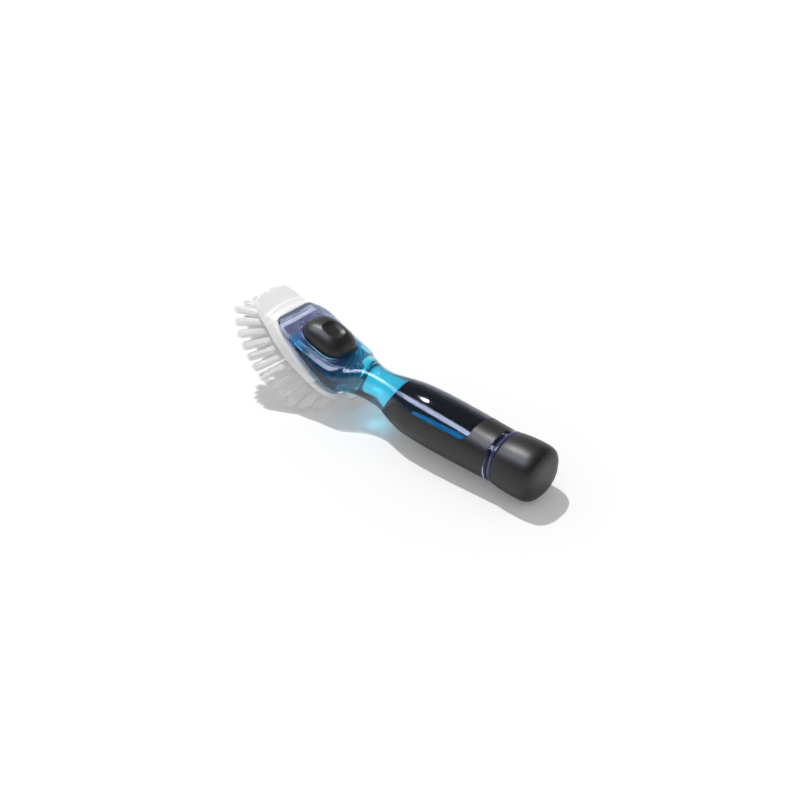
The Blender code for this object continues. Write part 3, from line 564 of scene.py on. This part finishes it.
# Space inside the housing, neck and tube, which for the body goes on through the housing's open floor
def cavityRings(shrink, openBelow):
    end = form["collarEnd"] - form["mouthDepth"] + 2.0
    start = form["front"] - 2 * form["bodyWall"]
    rings = []
    for row in rows:
        inset = row[8] + shrink
        past = (form["lowEdge"] - alongHandle(row, 2)) / form["openRun"]
        drop = max(0.0, min(1.0, past)) * (inset + form["openDepth"]) if openBelow else 0.0
        if alongHandle(row) < end - 1.0 and forwardOf(row) < start:
            rings.append(ringOf(row, inset, drop, turn=0.0))
    last = sectionAt(end)
    rings.append(ringOf(last, last[8] + shrink, turn=0.0))
    return rings


# Clear housing, neck and tube
buttonHole = {"halfLength": 19.9, "halfWidth": 14.9, "low": -7.0, "high": 6.0}


def makeClearBody(material):
    body = makePiece("clearBody", *skin([ringOf(row) for row in rows]))
    gap = form["seatGap"]
    cut(body, gripForm("gripSpace", -2.0, gap, gap, 0.0))
    cut(body, makePiece("hollow", *skin(cavityRings(0.0, True))))
    mouth = lathe([(form["mouthBore"], -form["mouthDepth"]), (form["mouthBore"], 3.0)])
    cut(body, makePiece("mouth", *mouth, handleFrame @ moved(form["collarEnd"]) @ turnY(90)))
    hole = [oval(buttonHole["halfLength"], buttonHole["halfWidth"], buttonHole[level])
            for level in ("low", "high")]
    cut(body, makePiece("hole", *skin(hole), deckFrame))
    soften(body, 40)
    place(body, material, "handle", "clear_body", slot="clear_shell")
    print("clear body made")


# Soap in the cavity: its front edge is measured forward of the head's rear
soapLook = {"tint": (0.97, 0.99, 1.0), "bend": 1.34, "absorb": (0.02, 0.94, 1.0), "density": 125.0,
            "shrink": -0.12, "front": 55.0, "shadow": (0.95, 0.97, 0.97)}


def makeSoap(material):
    soap = makePiece("soap", *skin(cavityRings(soapLook["shrink"], False)))
    front = soapLook["front"]
    cut(soap, makeBlock("soapEdge", (front, -50, -60), (front + 90, 50, 80), headFrame))
    soften(soap, 40)
    place(soap, material, "handle")
    print("soap made")


# Grip, moulded onto the clear tube with no air between, and its dull inner face
def makeGrip(material, liningMaterial):
    seated = form["seatGap"] + 0.05
    grip = gripForm("gripCover", 0.0, seated)
    soften(grip, 35)
    place(grip, material, "handle", "grip_sleeve", slot="soft_grip")
    lining = gripForm("gripLining", 2.0, seated + 0.1)
    soften(lining, 35)
    place(lining, liningMaterial, "handle", slot="soft_grip")
    print("grip made")


# Soft button with its thumb dish
button = {"length": 39.0, "width": 29.0, "height": 10.4, "skirt": 3.0, "dish": 1.2, "rear": 1.6}


def makeButton(material):
    length, width, top, rear = button["length"] / 2, button["width"] / 2, button["height"], button["rear"]
    floor = top - button["dish"]
    outer = [
        oval(length, width, -button["skirt"]), oval(length, width, -0.5), oval(length, width, 1.6),
        oval(length - 0.5, width - 0.5, 3.4, -0.1), oval(length - 2.0, width - 1.6, 5.6, -0.2),
        oval(length - 4.4, width - 3.2, 7.6, -0.6, 2.9), oval(length - 7.4, width - 5.1, 9.2, -1.1, 2.8),
        oval(length - 9.8, width - 6.6, top - 0.3, -rear, 2.7),
        oval(length - 11.0, width - 7.5, top, -rear, 2.7),
        oval(length - 12.1, width - 8.5, top - 0.4, -rear, 2.7),
        oval(length - 14.4, width - 10.4, floor, -rear, 2.6),
        oval(length - 17.4, width - 12.6, floor - 0.15, -rear, 2.3)]
    piece = makePiece("softButton", *skin(refine(outer, 5)), deckFrame, 60)
    place(piece, material, "button", "button_cover", slot="soft_button")
    print("button made")


# Steel spring under the button; the real spring shortens as the button is pressed, which this coil does
# not do
spring = {"radius": 9.0, "wire": 0.4, "low": -5.9, "high": 2.9, "turns": 4.0, "travel": 3.0}


def makeSpring(material):
    low, high, wire = spring["low"], spring["high"], spring["wire"]
    rings, steps = [], int(spring["turns"] * 32)
    for k in range(steps + 1):
        turn, level = 2 * math.pi * k / 32, low + (high - low) * k / steps
        out = Vector((math.cos(turn), math.sin(turn), 0))
        middle = out * spring["radius"] + Vector((0, 0, level))
        rings.append([middle + out * (wire * math.cos(a)) + Vector((0, 0, wire * math.sin(a)))
                      for a in (2 * math.pi * j / 10 for j in range(10))])
    piece = makePiece("returnSpring", *skin(rings), deckFrame, 60)
    place(piece, material, "handle", "return_spring", slot="spring_steel")
    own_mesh(piece)
    print("spring made")


# Cap, with its profile: distance from the start, and how far in at the sides and at the top
capSize = {"start": 134.0, "length": 30.6, "height": 38.4, "width": 41.0, "hollow": 15.1, "depth": 12.0}
capSteps = [(0.0, 1.3, 2.1, 2.25), (0.25, 1.05, 1.85, 2.25), (1.0, 0.7, 1.4, 2.25),
            (7.0, 0.2, 0.5, 2.25), (13.0, 0.0, 0.1, 2.25), (18.0, 0.0, 0.02, 2.25),
            (22.5, 0.35, 0.3, 2.3), (26.0, 1.4, 1.2, 2.35), (28.3, 3.2, 2.9, 2.4),
            (29.6, 5.5, 5.1, 2.4), (30.3, 8.2, 7.7, 2.35), (30.6, 11.6, 11.0, 2.25),
            (30.65, 16.0, 15.0, 2.1)]


def capRing(distance, halfWidth, halfHeight, bend=2.25):
    ring = []
    for j in range(128):
        across, up = superellipse(2 * math.pi * (j + 0.5) / 128, bend)
        ring.append((-halfHeight * up, halfWidth * across, distance))
    return ring


def makeCap(material):
    start, half, tall = capSize["start"], capSize["width"] / 2, capSize["height"] / 2
    outer = [capRing(start + d, half - w, tall - h, bend) for d, w, h, bend in capSteps]
    piece = makePiece("softCap", *skin(refine(outer, 4)), axisFrame, 50)
    inside = capSize["hollow"]
    hollow = [capRing(start + d, inside, inside, 2.0) for d in (-1.0, capSize["depth"])]
    cut(piece, makePiece("capHollow", *skin(hollow), axisFrame))
    soften(piece, 50)
    place(piece, material, "cap", "cap_cover", slot="soft_cap")
    print("cap made", round(start + capSize["length"], 1))


# Clear ring of the cap and the plug that it closes the mouth with
insert = {"start": 131.0, "end": 133.7, "bore": 13.0, "inside": 11.4}


def makeInsert(material):
    half, tall, start, end = capSize["width"] / 2, capSize["height"] / 2, insert["start"], insert["end"]
    steps = [(start, 1.9, 2.6), (start + 0.1, 1.5, 2.2), (start + 0.5, 1.1, 1.8),
             (end - 0.5, 1.1, 1.8), (end - 0.1, 1.3, 2.0), (end, 1.7, 2.4)]
    rings = refine([capRing(d, half - w, tall - h) for d, w, h in steps], 3)
    piece = makePiece("capInsert", *skin(rings), axisFrame)
    low = (axisFrame.inverted() @ (Vector(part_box("cap_insert")[0]) / mm)).z
    plug = lathe([(insert["bore"], low + 0.4), (insert["bore"], end - 0.5)])
    cut(piece, makePiece("plug", *plug, axisFrame), "UNION")
    hollow = lathe([(insert["inside"], low - 2.0), (insert["inside"], start + 0.8)])
    cut(piece, makePiece("plugHollow", *hollow, axisFrame))
    soften(piece, 40)
    place(piece, material, "cap", "cap_insert", slot="clear_shell")
    print("cap ring made", round(low, 1))


# White head: rails round the housing, a ridge, and the scraper
base = {"half": 28.4, "bottom": -10.0, "railTop": -0.6, "railWidth": 1.5, "lowRail": -4.4,
        "step": 20.5, "ridge": 82.0, "bow": 3.0, "tip": 97.4, "tipHalf": 15.0, "tipTop": -7.2,
        "tipEdge": 1.3, "squareness": 6.0, "narrow": 0.94, "seatGap": 0.4, "seatEnd": 22.0,
        "tabSlot": (6.0, 10.0), "pocket": (4.2, 88.3), "pocketGap": 0.3, "pocketTop": -8.1, "below": -12.0}
baseOutline = [(2.2, 0.48), (3.0, 0.56), (4.6, 0.65), (8.2, 0.76), (13.0, 0.83), (20.5, 0.90),
               (29.0, 0.955), (41.0, 1.0), (52.0, 0.985), (64.0, 0.925), (76.5, 0.84), (85.0, 0.755),
               (89.0, 0.70), (93.0, 0.63)]
nozzle = {"forward": 37.0, "hole": 4.0, "clear": 6.6}


def curveThrough(points, x):
    points = sorted(points)
    if x <= points[0][0]:
        return points[0][1]
    if x >= points[-1][0]:
        return points[-1][1]
    i = max(k for k in range(len(points) - 1) if points[k][0] <= x)
    (xa, ya), (xb, yb) = points[i], points[i + 1]
    before = points[i - 1] if i else points[i]
    after = points[i + 2] if i + 2 < len(points) else points[i + 1]
    span, t = xb - xa, (x - xa) / (xb - xa)
    slopeA = (yb - before[1]) / (xb - before[0])
    slopeB = (after[1] - ya) / (after[0] - xa)
    return (ya * (2 * t**3 - 3 * t * t + 1) + slopeA * span * (t**3 - 2 * t * t + t)
            + yb * (3 * t * t - 2 * t**3) + slopeB * span * (t**3 - t * t))


def baseHalf(forward):
    points = [(p, share * base["half"]) for p, share in baseOutline]
    return curveThrough(points + [(base["tip"], base["tipHalf"])], forward)


def baseTopHalf(forward):
    sides = sorted((forwardOf(row), row[4]) for row in sections[1:9])
    corner = sides[-1][1] + base["railWidth"]
    if forward < base["step"] + 0.3:
        return base["narrow"] * baseHalf(forward)
    points = [(p, half + base["railWidth"]) for p, half in sides if p < 70]
    points += [(75.1, corner), (base["ridge"], corner), (90.0, corner - 0.6),
               (base["tip"], base["tipHalf"] - 1.2)]
    return min(curveThrough(points, forward), baseHalf(forward))


def baseTop(forward):
    top, ridge, step = base["railTop"], base["ridge"], base["step"]
    if forward < step:
        return base["lowRail"]
    line = [(step + 0.5, top), (60.0, top), (74.4, top), (75.0, top - 0.12), (75.6, top - 0.4),
            (ridge - 2.0, top - 2.62), (ridge - 0.8, top - 2.88), (ridge, top - 3.0),
            (ridge + 0.6, top - 3.3), (ridge + 1.2, top - 3.9), (ridge + 2.0, top - 4.35),
            (ridge + 3.0, top - 4.6), (base["tip"], base["tipTop"])]
    return between(line, forward) if forward > step + 0.5 else top


def baseBottom(forward):
    line = [(82.0, base["bottom"]), (89.0, base["bottom"] + 0.3),
            (base["tip"], base["tipTop"] - base["tipEdge"])]
    return between(line, forward)


def baseBow(forward):
    return between([(66.0, 0.0), (72.0, 0.9), (base["ridge"], base["bow"]), (base["tip"], 1.0)], forward)


def baseRing(spot, shrink=0.0, ahead=0.0):
    bow = baseBow(spot)
    wide, narrow = baseHalf(spot - bow) - shrink, baseTopHalf(spot - bow) - shrink
    top, bottom = baseTop(spot) - shrink, baseBottom(spot) + shrink
    ring = []
    for j in range(128):
        across, up = superellipse(2 * math.pi * (j + 0.5) / 128, base["squareness"])
        half = wide + (narrow - wide) * (up + 1) / 2
        level = (top + bottom) / 2 + (top - bottom) / 2 * up
        ring.append((spot - bow * across**2 + ahead, half * across, level))
    return ring


def nozzleHole(name):
    hole = lathe([(nozzle["hole"], -14.0), (nozzle["hole"], 4.0)])
    return makePiece(name, *hole, headFrame @ moved(nozzle["forward"]))


def makeHeadBase(material):
    spots = [2.2 + 0.4 * k for k in range(6)] + [4.6 + 1.5 * k for k in range(11)] + [20.49, 20.51]
    spots += [21.5 + 1.5 * k for k in range(36)]
    spots += [74.4, 75.0, 75.6, 77.0, 78.5, 80.0, 81.2, 82.0, 82.3, 82.6, 82.9, 83.2, 83.6, 84.0,
              84.5, 85.0]
    spots += [86.0 + 1.0 * k for k in range(10)] + [96.0, 96.5, 96.9]
    rings = [baseRing(2.2, 1.2, -0.25)] + [baseRing(spot) for spot in spots]
    for past, shrink in ((97.15, 0.05), (97.3, 0.15), (97.38, 0.3), (97.4, 0.5)):
        rings.append(baseRing(97.0, shrink, past - 97.0))
    piece = makePiece("whiteHead", *skin(rings), headFrame)

    # Seat of the clear housing, hole of the nozzle, slot of the tab, and pocket of the bristles
    gap, low = base["seatGap"], base["below"]
    seat = [ringOf(row, -gap, turn=0.0, lift=12.0) for row in rows if alongHandle(row) < base["seatEnd"]]
    ahead = headFrame.to_3x3() @ Vector((gap, 0, 0))
    seat[0] = [p + ahead for p in seat[0]]
    cut(piece, makePiece("seat", *skin(seat)))
    cut(piece, nozzleHole("nozzleHole"))
    far, wide = base["tabSlot"]
    cut(piece, makeBlock("tabSlot", (-far, -wide, low), (far, wide, 2.0), headFrame))
    outline = fieldOutline(*base["pocket"], base["pocketGap"])
    pocket = [[(x, y, level) for x, y in outline] for level in (low, base["pocketTop"])]
    cut(piece, makePiece("pocket", *skin(pocket), headFrame))
    soften(piece, 32)
    place(piece, material, "brush_head", "head_base", slot="white_plastic")
    print("head made")


# Backing and tufts
tufts = {"rows": 12, "pitch": 7.4, "length": 27.0, "splay": 0.86, "lean": 1.08, "strands": 76,
         "strandWidth": 0.46, "rootRadius": 2.6, "tipRadius": 4.1, "fieldFront": 88.0, "fieldRear": 4.5,
         "top": -8.4, "backing": 1.5, "offFloor": 0.2, "border": 2.5, "outerRow": 2.3, "halfTuft": 2.2,
         "embedded": 0.3, "shortest": 0.965, "tipThin": 0.62, "tiltSpread": 0.025, "strandSpread": 0.012,
         "sagSpread": 0.35}
goldenAngle = 2.39996


def fieldHalf(forward):
    return baseHalf(forward + baseBow(forward)) - tufts["border"]


def fieldOutline(start, end, grow=0.0):
    places = [start + (end - start) * k / 40 for k in range(41)]
    right = [(x, fieldHalf(x) + grow) for x in places]
    return right + [(x, -y) for x, y in reversed(right)]


# Each tuft: forward, across, and how far it leans forward and splays out
def tuftPlaces():
    found = []
    reach, near = tufts["fieldFront"] - tufts["fieldRear"], tufts["halfTuft"]
    for row in range(tufts["rows"]):
        forward = tufts["fieldRear"] + reach * (row + 0.5) / tufts["rows"]
        edge = min(fieldHalf(forward - near), fieldHalf(forward + near)) - tufts["outerRow"]
        count = max(2, round(2 * edge / tufts["pitch"]) + 1)
        share = row / (tufts["rows"] - 1)
        splay = tufts["splay"] / base["half"] * (1 - 0.6 * share**10)
        for k in range(count):
            across = edge * (2 * k / (count - 1) - 1)
            if math.hypot(forward - nozzle["forward"], across) > nozzle["clear"]:
                found.append((forward, across, tufts["lean"] * share**1.45, splay * across))
    return found


def makeBacking(material):
    outline = fieldOutline(tufts["fieldRear"], tufts["fieldFront"])
    levels = (tufts["top"] - tufts["backing"], tufts["top"])
    sheet = [[(x, y, level) for x, y in outline] for level in levels]
    backing = makePiece("bristleBacking", *skin(sheet), headFrame)
    cut(backing, nozzleHole("dripHole"))
    place(backing, material, "brush_head", slot="white_nylon")


# Strands of four sides and three spans each, spread over every tuft like seeds in a flower
def makeTufts(material):
    dice = random.Random(7)
    points, faces = [], []
    down = headFrame.to_3x3()
    start = tufts["top"] - tufts["backing"] + tufts["embedded"]
    rootRadius, tipRadius = tufts["rootRadius"], tufts["tipRadius"]
    tiltSpread, strandSpread = tufts["tiltSpread"], tufts["strandSpread"]
    sagSpread = tufts["sagSpread"]
    for forward, across, lean, splay in tuftPlaces():
        gather = dice.uniform(0.92, 1.08)
        tilt = (dice.gauss(0, tiltSpread), dice.gauss(0, tiltSpread))
        for strand in range(tufts["strands"]):
            spread = math.sqrt((strand + 0.5) / tufts["strands"])
            angle = strand * goldenAngle
            dx, dy = spread * math.cos(angle), spread * math.sin(angle)
            root = Vector((forward + dx * rootRadius, across + dy * rootRadius, start))
            flare = (tipRadius * gather - rootRadius) / tufts["length"]
            way = Vector((lean + dx * flare + tilt[0] + dice.gauss(0, strandSpread),
                          splay + dy * flare + tilt[1] + dice.gauss(0, strandSpread), -1.0)).normalized()
            length = (tufts["length"] - tufts["embedded"]) * dice.uniform(tufts["shortest"], 1.0)
            sag = Vector((dice.gauss(0, sagSpread), dice.gauss(0, sagSpread), 0))

            # The lowest strands end just above the table
            height, fall = (headFrame @ root).z, (down @ way).z
            if height + fall * length < tufts["offFloor"]:
                length = (height - tufts["offFloor"]) / -fall
            first = len(points)
            side = way.orthogonal().normalized()
            other = way.cross(side)
            for level in (0.0, 0.35, 0.7, 1.0):
                middle = root + way * (length * level) + sag * (level * (1 - level) * 2.4)
                thick = tufts["strandWidth"] / 2 * (1.0 if level < 0.99 else tufts["tipThin"])
                for k in range(4):
                    turn = math.pi / 2 * k + strand
                    points.append(middle + (side * math.cos(turn) + other * math.sin(turn)) * thick)
            for level in range(3):
                for k in range(4):
                    a, b = first + level * 4 + k, first + level * 4 + (k + 1) % 4
                    faces.append((a, b, b + 4, a + 4))
            faces.append(tuple(first + 12 + k for k in range(4)))
            faces.append(tuple(first + 3 - k for k in range(4)))
    piece = makePiece("bristleTufts", points, faces, headFrame, 180, fix=False)
    place(piece, material, "brush_head", "bristles_1", "bristles_2", "bristles_3", "bristles_4",
          slot="white_nylon")
    print("tufts made", len(faces))


def faded(colour, share):
    return tuple(c * share for c in colour)


# Clear plastic of the housing, the neck and the window
clearLook = {"tint": (0.97, 0.975, 0.99), "bend": 1.45, "gloss": 0.015, "absorb": (0.40, 0.50, 0.78),
             "density": 110.0, "shadow": (0.84, 0.80, 0.78), "patches": 60}


def clearPlastic():
    paint = Paint("clearPlastic")
    cloud, tint, gloss = paint.noise(80, 2.0), clearLook["tint"], clearLook["gloss"]
    shell = paint.add("ShaderNodeBsdfPrincipled", None, {
        "Base Color": paint.mix(paint.ramp(cloud, 0.35, 0.65), tint, faded(tint, 0.97)),
        "Roughness": paint.ramp(cloud, 0.3, 0.7, gloss, gloss + 0.012),
        "IOR": clearLook["bend"], "Transmission Weight": 1.0})
    depth = paint.add("ShaderNodeVolumeAbsorption", None,
                      {"Color": clearLook["absorb"], "Density": clearLook["density"]})
    return paint.finish(paint.lightThrough(shell, clearLook["shadow"], clearLook["patches"]), depth)


# Cap ring: the same clear plastic, whose navy colour is partly its own tint through its thickness and
# partly painted shade of the dark seen through it
ringLook = {"navy": (0.16, 0.19, 0.42), "deep": (0.10, 0.12, 0.30), "clear": 0.72}


def ringPlastic():
    paint = Paint("ringPlastic")
    cloud = paint.noise(150, 2.0)
    # The navy base colour is partly painted shade, standing in for the dark behind the ring
    shell = paint.add("ShaderNodeBsdfPrincipled", None, {
        "Base Color": paint.mix(paint.ramp(cloud, 0.35, 0.65), ringLook["navy"], ringLook["deep"]),
        "Roughness": paint.ramp(cloud, 0.3, 0.7, 0.03, 0.06), "IOR": clearLook["bend"],
        "Transmission Weight": ringLook["clear"]})
    return paint.finish(paint.lightThrough(shell, clearLook["shadow"]))


def soapLiquid():
    paint = Paint("soapLiquid")
    cloud, tint = paint.noise(70, 2.0), soapLook["tint"]
    surface = paint.add("ShaderNodeBsdfPrincipled", None, {
        "Base Color": paint.mix(paint.ramp(cloud, 0.35, 0.65), tint, faded(tint, 0.98)),
        "Roughness": 0.0, "IOR": soapLook["bend"], "Transmission Weight": 1.0})
    depth = paint.add("ShaderNodeVolumeAbsorption", None,
                      {"Color": soapLook["absorb"], "Density": soapLook["density"]})
    return paint.finish(paint.lightThrough(surface, soapLook["shadow"]), depth)


# Black rubber of the grip, button and cap, and of the grip's inner face, whose bluish tint is painted
# light standing in for the navy glow seen through the window
rubberLook = {"dark": (0.0065, 0.0065, 0.0068), "light": (0.0095, 0.0095, 0.0098),
              "lining": (0.012, 0.012, 0.030), "grain": 1500, "grip": 0.39, "button": 0.40, "cap": 0.40}


def softRubber(name, rough):
    paint = Paint(name)
    grain = paint.noise(rubberLook["grain"], 2.0)
    cloud = paint.noise(60)
    return paint.finish(paint.add("ShaderNodeBsdfPrincipled", None, {
        "Base Color": paint.mix(paint.ramp(cloud, 0.3, 0.7), rubberLook["dark"], rubberLook["light"]),
        "Roughness": paint.ramp(grain, 0.3, 0.7, rough - 0.04, rough + 0.06), "IOR": 1.5,
        "Normal": paint.bump(grain, 0.5, 0.00006)}))


def liningRubber():
    paint = Paint("liningRubber")
    cloud = paint.noise(60)
    # The bluish lining colour is a painted tint for the window's navy glow, not the rubber's own colour
    return paint.finish(paint.add("ShaderNodeBsdfPrincipled", None, {
        "Base Color": paint.mix(paint.ramp(cloud, 0.3, 0.7), rubberLook["lining"], rubberLook["dark"]),
        "Roughness": paint.ramp(cloud, 0.3, 0.7, 0.80, 0.90), "IOR": 1.3}))


# White head and its paler, see-through tab
whiteLook = {"white": (0.91, 0.912, 0.915), "shade": (0.88, 0.882, 0.886), "tab": (0.92, 0.93, 0.94)}


def headPlastic():
    paint = Paint("headPlastic")
    fine = paint.noise(1400, 2.0)
    cloud = paint.noise(45, 2.0)
    return paint.finish(paint.add("ShaderNodeBsdfPrincipled", None, {
        "Base Color": paint.mix(paint.ramp(cloud, 0.35, 0.65), whiteLook["white"], whiteLook["shade"]),
        "Roughness": paint.ramp(fine, 0.3, 0.7, 0.30, 0.40), "IOR": 1.45,
        "Normal": paint.bump(fine, 0.08, 0.00003)}))


def tabPlastic():
    paint = Paint("tabPlastic")
    cloud = paint.noise(160, 2.0)
    return paint.finish(paint.add("ShaderNodeBsdfPrincipled", None, {
        "Base Color": paint.mix(paint.ramp(cloud, 0.35, 0.65), whiteLook["tab"], whiteLook["shade"]),
        "Roughness": paint.ramp(cloud, 0.3, 0.7, 0.16, 0.24), "IOR": 1.4, "Transmission Weight": 0.6}))


# Nylon of the strands and their backing, which light shines through, with a painted glow: a faint emission
# that brightens them as light scattered in the nylon would
nylonLook = {"bristle": (0.97, 0.97, 0.97), "backing": (0.80, 0.80, 0.80), "glow": 0.10, "soft": 0.32,
             "shadow": (0.52, 0.52, 0.52)}


def nylon(name, colour):
    paint = Paint(name)
    shade = paint.mix(paint.ramp(paint.noise(220, 2.0), 0.35, 0.65), colour, faded(colour, 0.95))
    # The emission below is painted light, a glow standing in for light scattered inside the nylon
    solid = paint.add("ShaderNodeBsdfPrincipled", None, {
        "Base Color": shade, "Roughness": 0.42, "IOR": 1.5, "Emission Color": shade,
        "Emission Strength": nylonLook["glow"]})
    glow = paint.add("ShaderNodeBsdfTranslucent", None, {"Color": shade})
    soft = paint.add("ShaderNodeMixShader", None, {0: nylonLook["soft"], 1: solid, 2: glow})
    return paint.finish(paint.lightThrough(soft, nylonLook["shadow"]))


# Lilac plastic of the pump, its steel spring and its grey rubber parts
innerLook = {"lilac": (0.16, 0.16, 0.34), "deepLilac": (0.10, 0.10, 0.24), "grey": (0.10, 0.10, 0.11),
             "deepGrey": (0.08, 0.08, 0.09), "steel": (0.55, 0.56, 0.58)}


def innerPlastic(name, colour, deep, rough):
    paint = Paint(name)
    cloud = paint.noise(90, 2.0)
    return paint.finish(paint.add("ShaderNodeBsdfPrincipled", None, {
        "Base Color": paint.mix(paint.ramp(cloud, 0.3, 0.7), colour, deep),
        "Roughness": rough, "IOR": 1.45}))


def springSteel():
    paint = Paint("springSteel")
    streak = paint.noise(300, 2.0, (1, 1, 6))
    return paint.finish(paint.add("ShaderNodeBsdfPrincipled", None, {
        "Base Color": innerLook["steel"], "Metallic": 1.0,
        "Roughness": paint.ramp(streak, 0.3, 0.7, 0.22, 0.36)}))


# Floor under the pump: lilac with specks of foam in front, and blue under the soap, with moulded arcs
# behind the button; places are in millimetres in the head's frame. The blue is painted: bright behind the
# button as painted light through the soap, and darker under and ahead of the button as painted shade
floorLook = {"front": (0.30, 0.31, 0.46), "speck": (0.85, 0.88, 0.95), "rear": (0.25, 0.80, 1.0),
             "deep": (0.05, 0.34, 0.55), "meet": (50.0, 58.0), "foamAhead": (50.0, 55.0),
             "foamSide": (12.0, 4.0), "centre": 36.0, "widen": 1.25, "arcs": 3.4,
             "arcsFrom": (19.0, 27.0), "arcsBehind": (34.0, 22.0)}


def pumpFloor():
    paint = Paint("pumpFloorPlastic")
    forward, across = paint.along(headFrame, 0), paint.along(headFrame, 1)
    cloud = paint.noise(120)
    front = paint.mix(paint.ramp(cloud, 0.35, 0.6), floorLook["front"], faded(floorLook["front"], 0.6))
    foam = (paint.ramp(paint.noise(700, 2.0), 0.60, 0.66) * paint.ramp(forward, *floorLook["foamAhead"])
            * paint.ramp(across, *floorLook["foamSide"]))
    front = paint.mix(foam, front, floorLook["speck"])
    x, y = forward - floorLook["centre"], across * floorLook["widen"]
    reach = paint.math("SQRT", x * x + y * y)
    wave = paint.math("SINE", (reach + cloud * 3.0) * (2 * math.pi / floorLook["arcs"]))
    bright = paint.mix(paint.ramp(wave, 0.2, 1.0), faded(floorLook["rear"], 0.5), floorLook["rear"])
    behind = paint.ramp(reach, *floorLook["arcsFrom"]) * paint.ramp(forward, *floorLook["arcsBehind"])
    # Painted shade: darker blue under and ahead of the button; painted light: bright blue behind it
    near = paint.mix(behind, floorLook["deep"], bright)
    return paint.finish(paint.add("ShaderNodeBsdfPrincipled", None, {
        "Base Color": paint.mix(paint.ramp(forward, *floorLook["meet"]), near, front),
        "Roughness": 0.3, "IOR": 1.45}))


makeCamera()
makeStudio()

clear = clearPlastic()
lilac = innerPlastic("lilacPlastic", innerLook["lilac"], innerLook["deepLilac"], 0.25)
greyRubber = innerPlastic("greyRubber", innerLook["grey"], innerLook["deepGrey"], 0.6)

makeClearBody(clear)
makeSoap(soapLiquid())
makeGrip(softRubber("gripRubber", rubberLook["grip"]), liningRubber())
makeButton(softRubber("buttonRubber", rubberLook["button"]))
makeSpring(springSteel())
makeCap(softRubber("capRubber", rubberLook["cap"]))
makeInsert(ringPlastic())
makeHeadBase(headPlastic())
makeBacking(nylon("backingNylon", nylonLook["backing"]))
makeTufts(nylon("bristleNylon", nylonLook["bristle"]))

# Solids whose shape stays as it is
dress(nodes["release_tab"], tabPlastic())
dress(nodes["pump_floor"], pumpFloor())
for name in ("button_guide", "pump_cylinder", "button_core", "pump_piston", "nozzle"):
    dress(nodes[name], lilac)
for name in ("inlet_valve", "outlet_valve", "piston_seal", "cap_seal"):
    dress(nodes[name], greyRubber)
print("solids dressed")
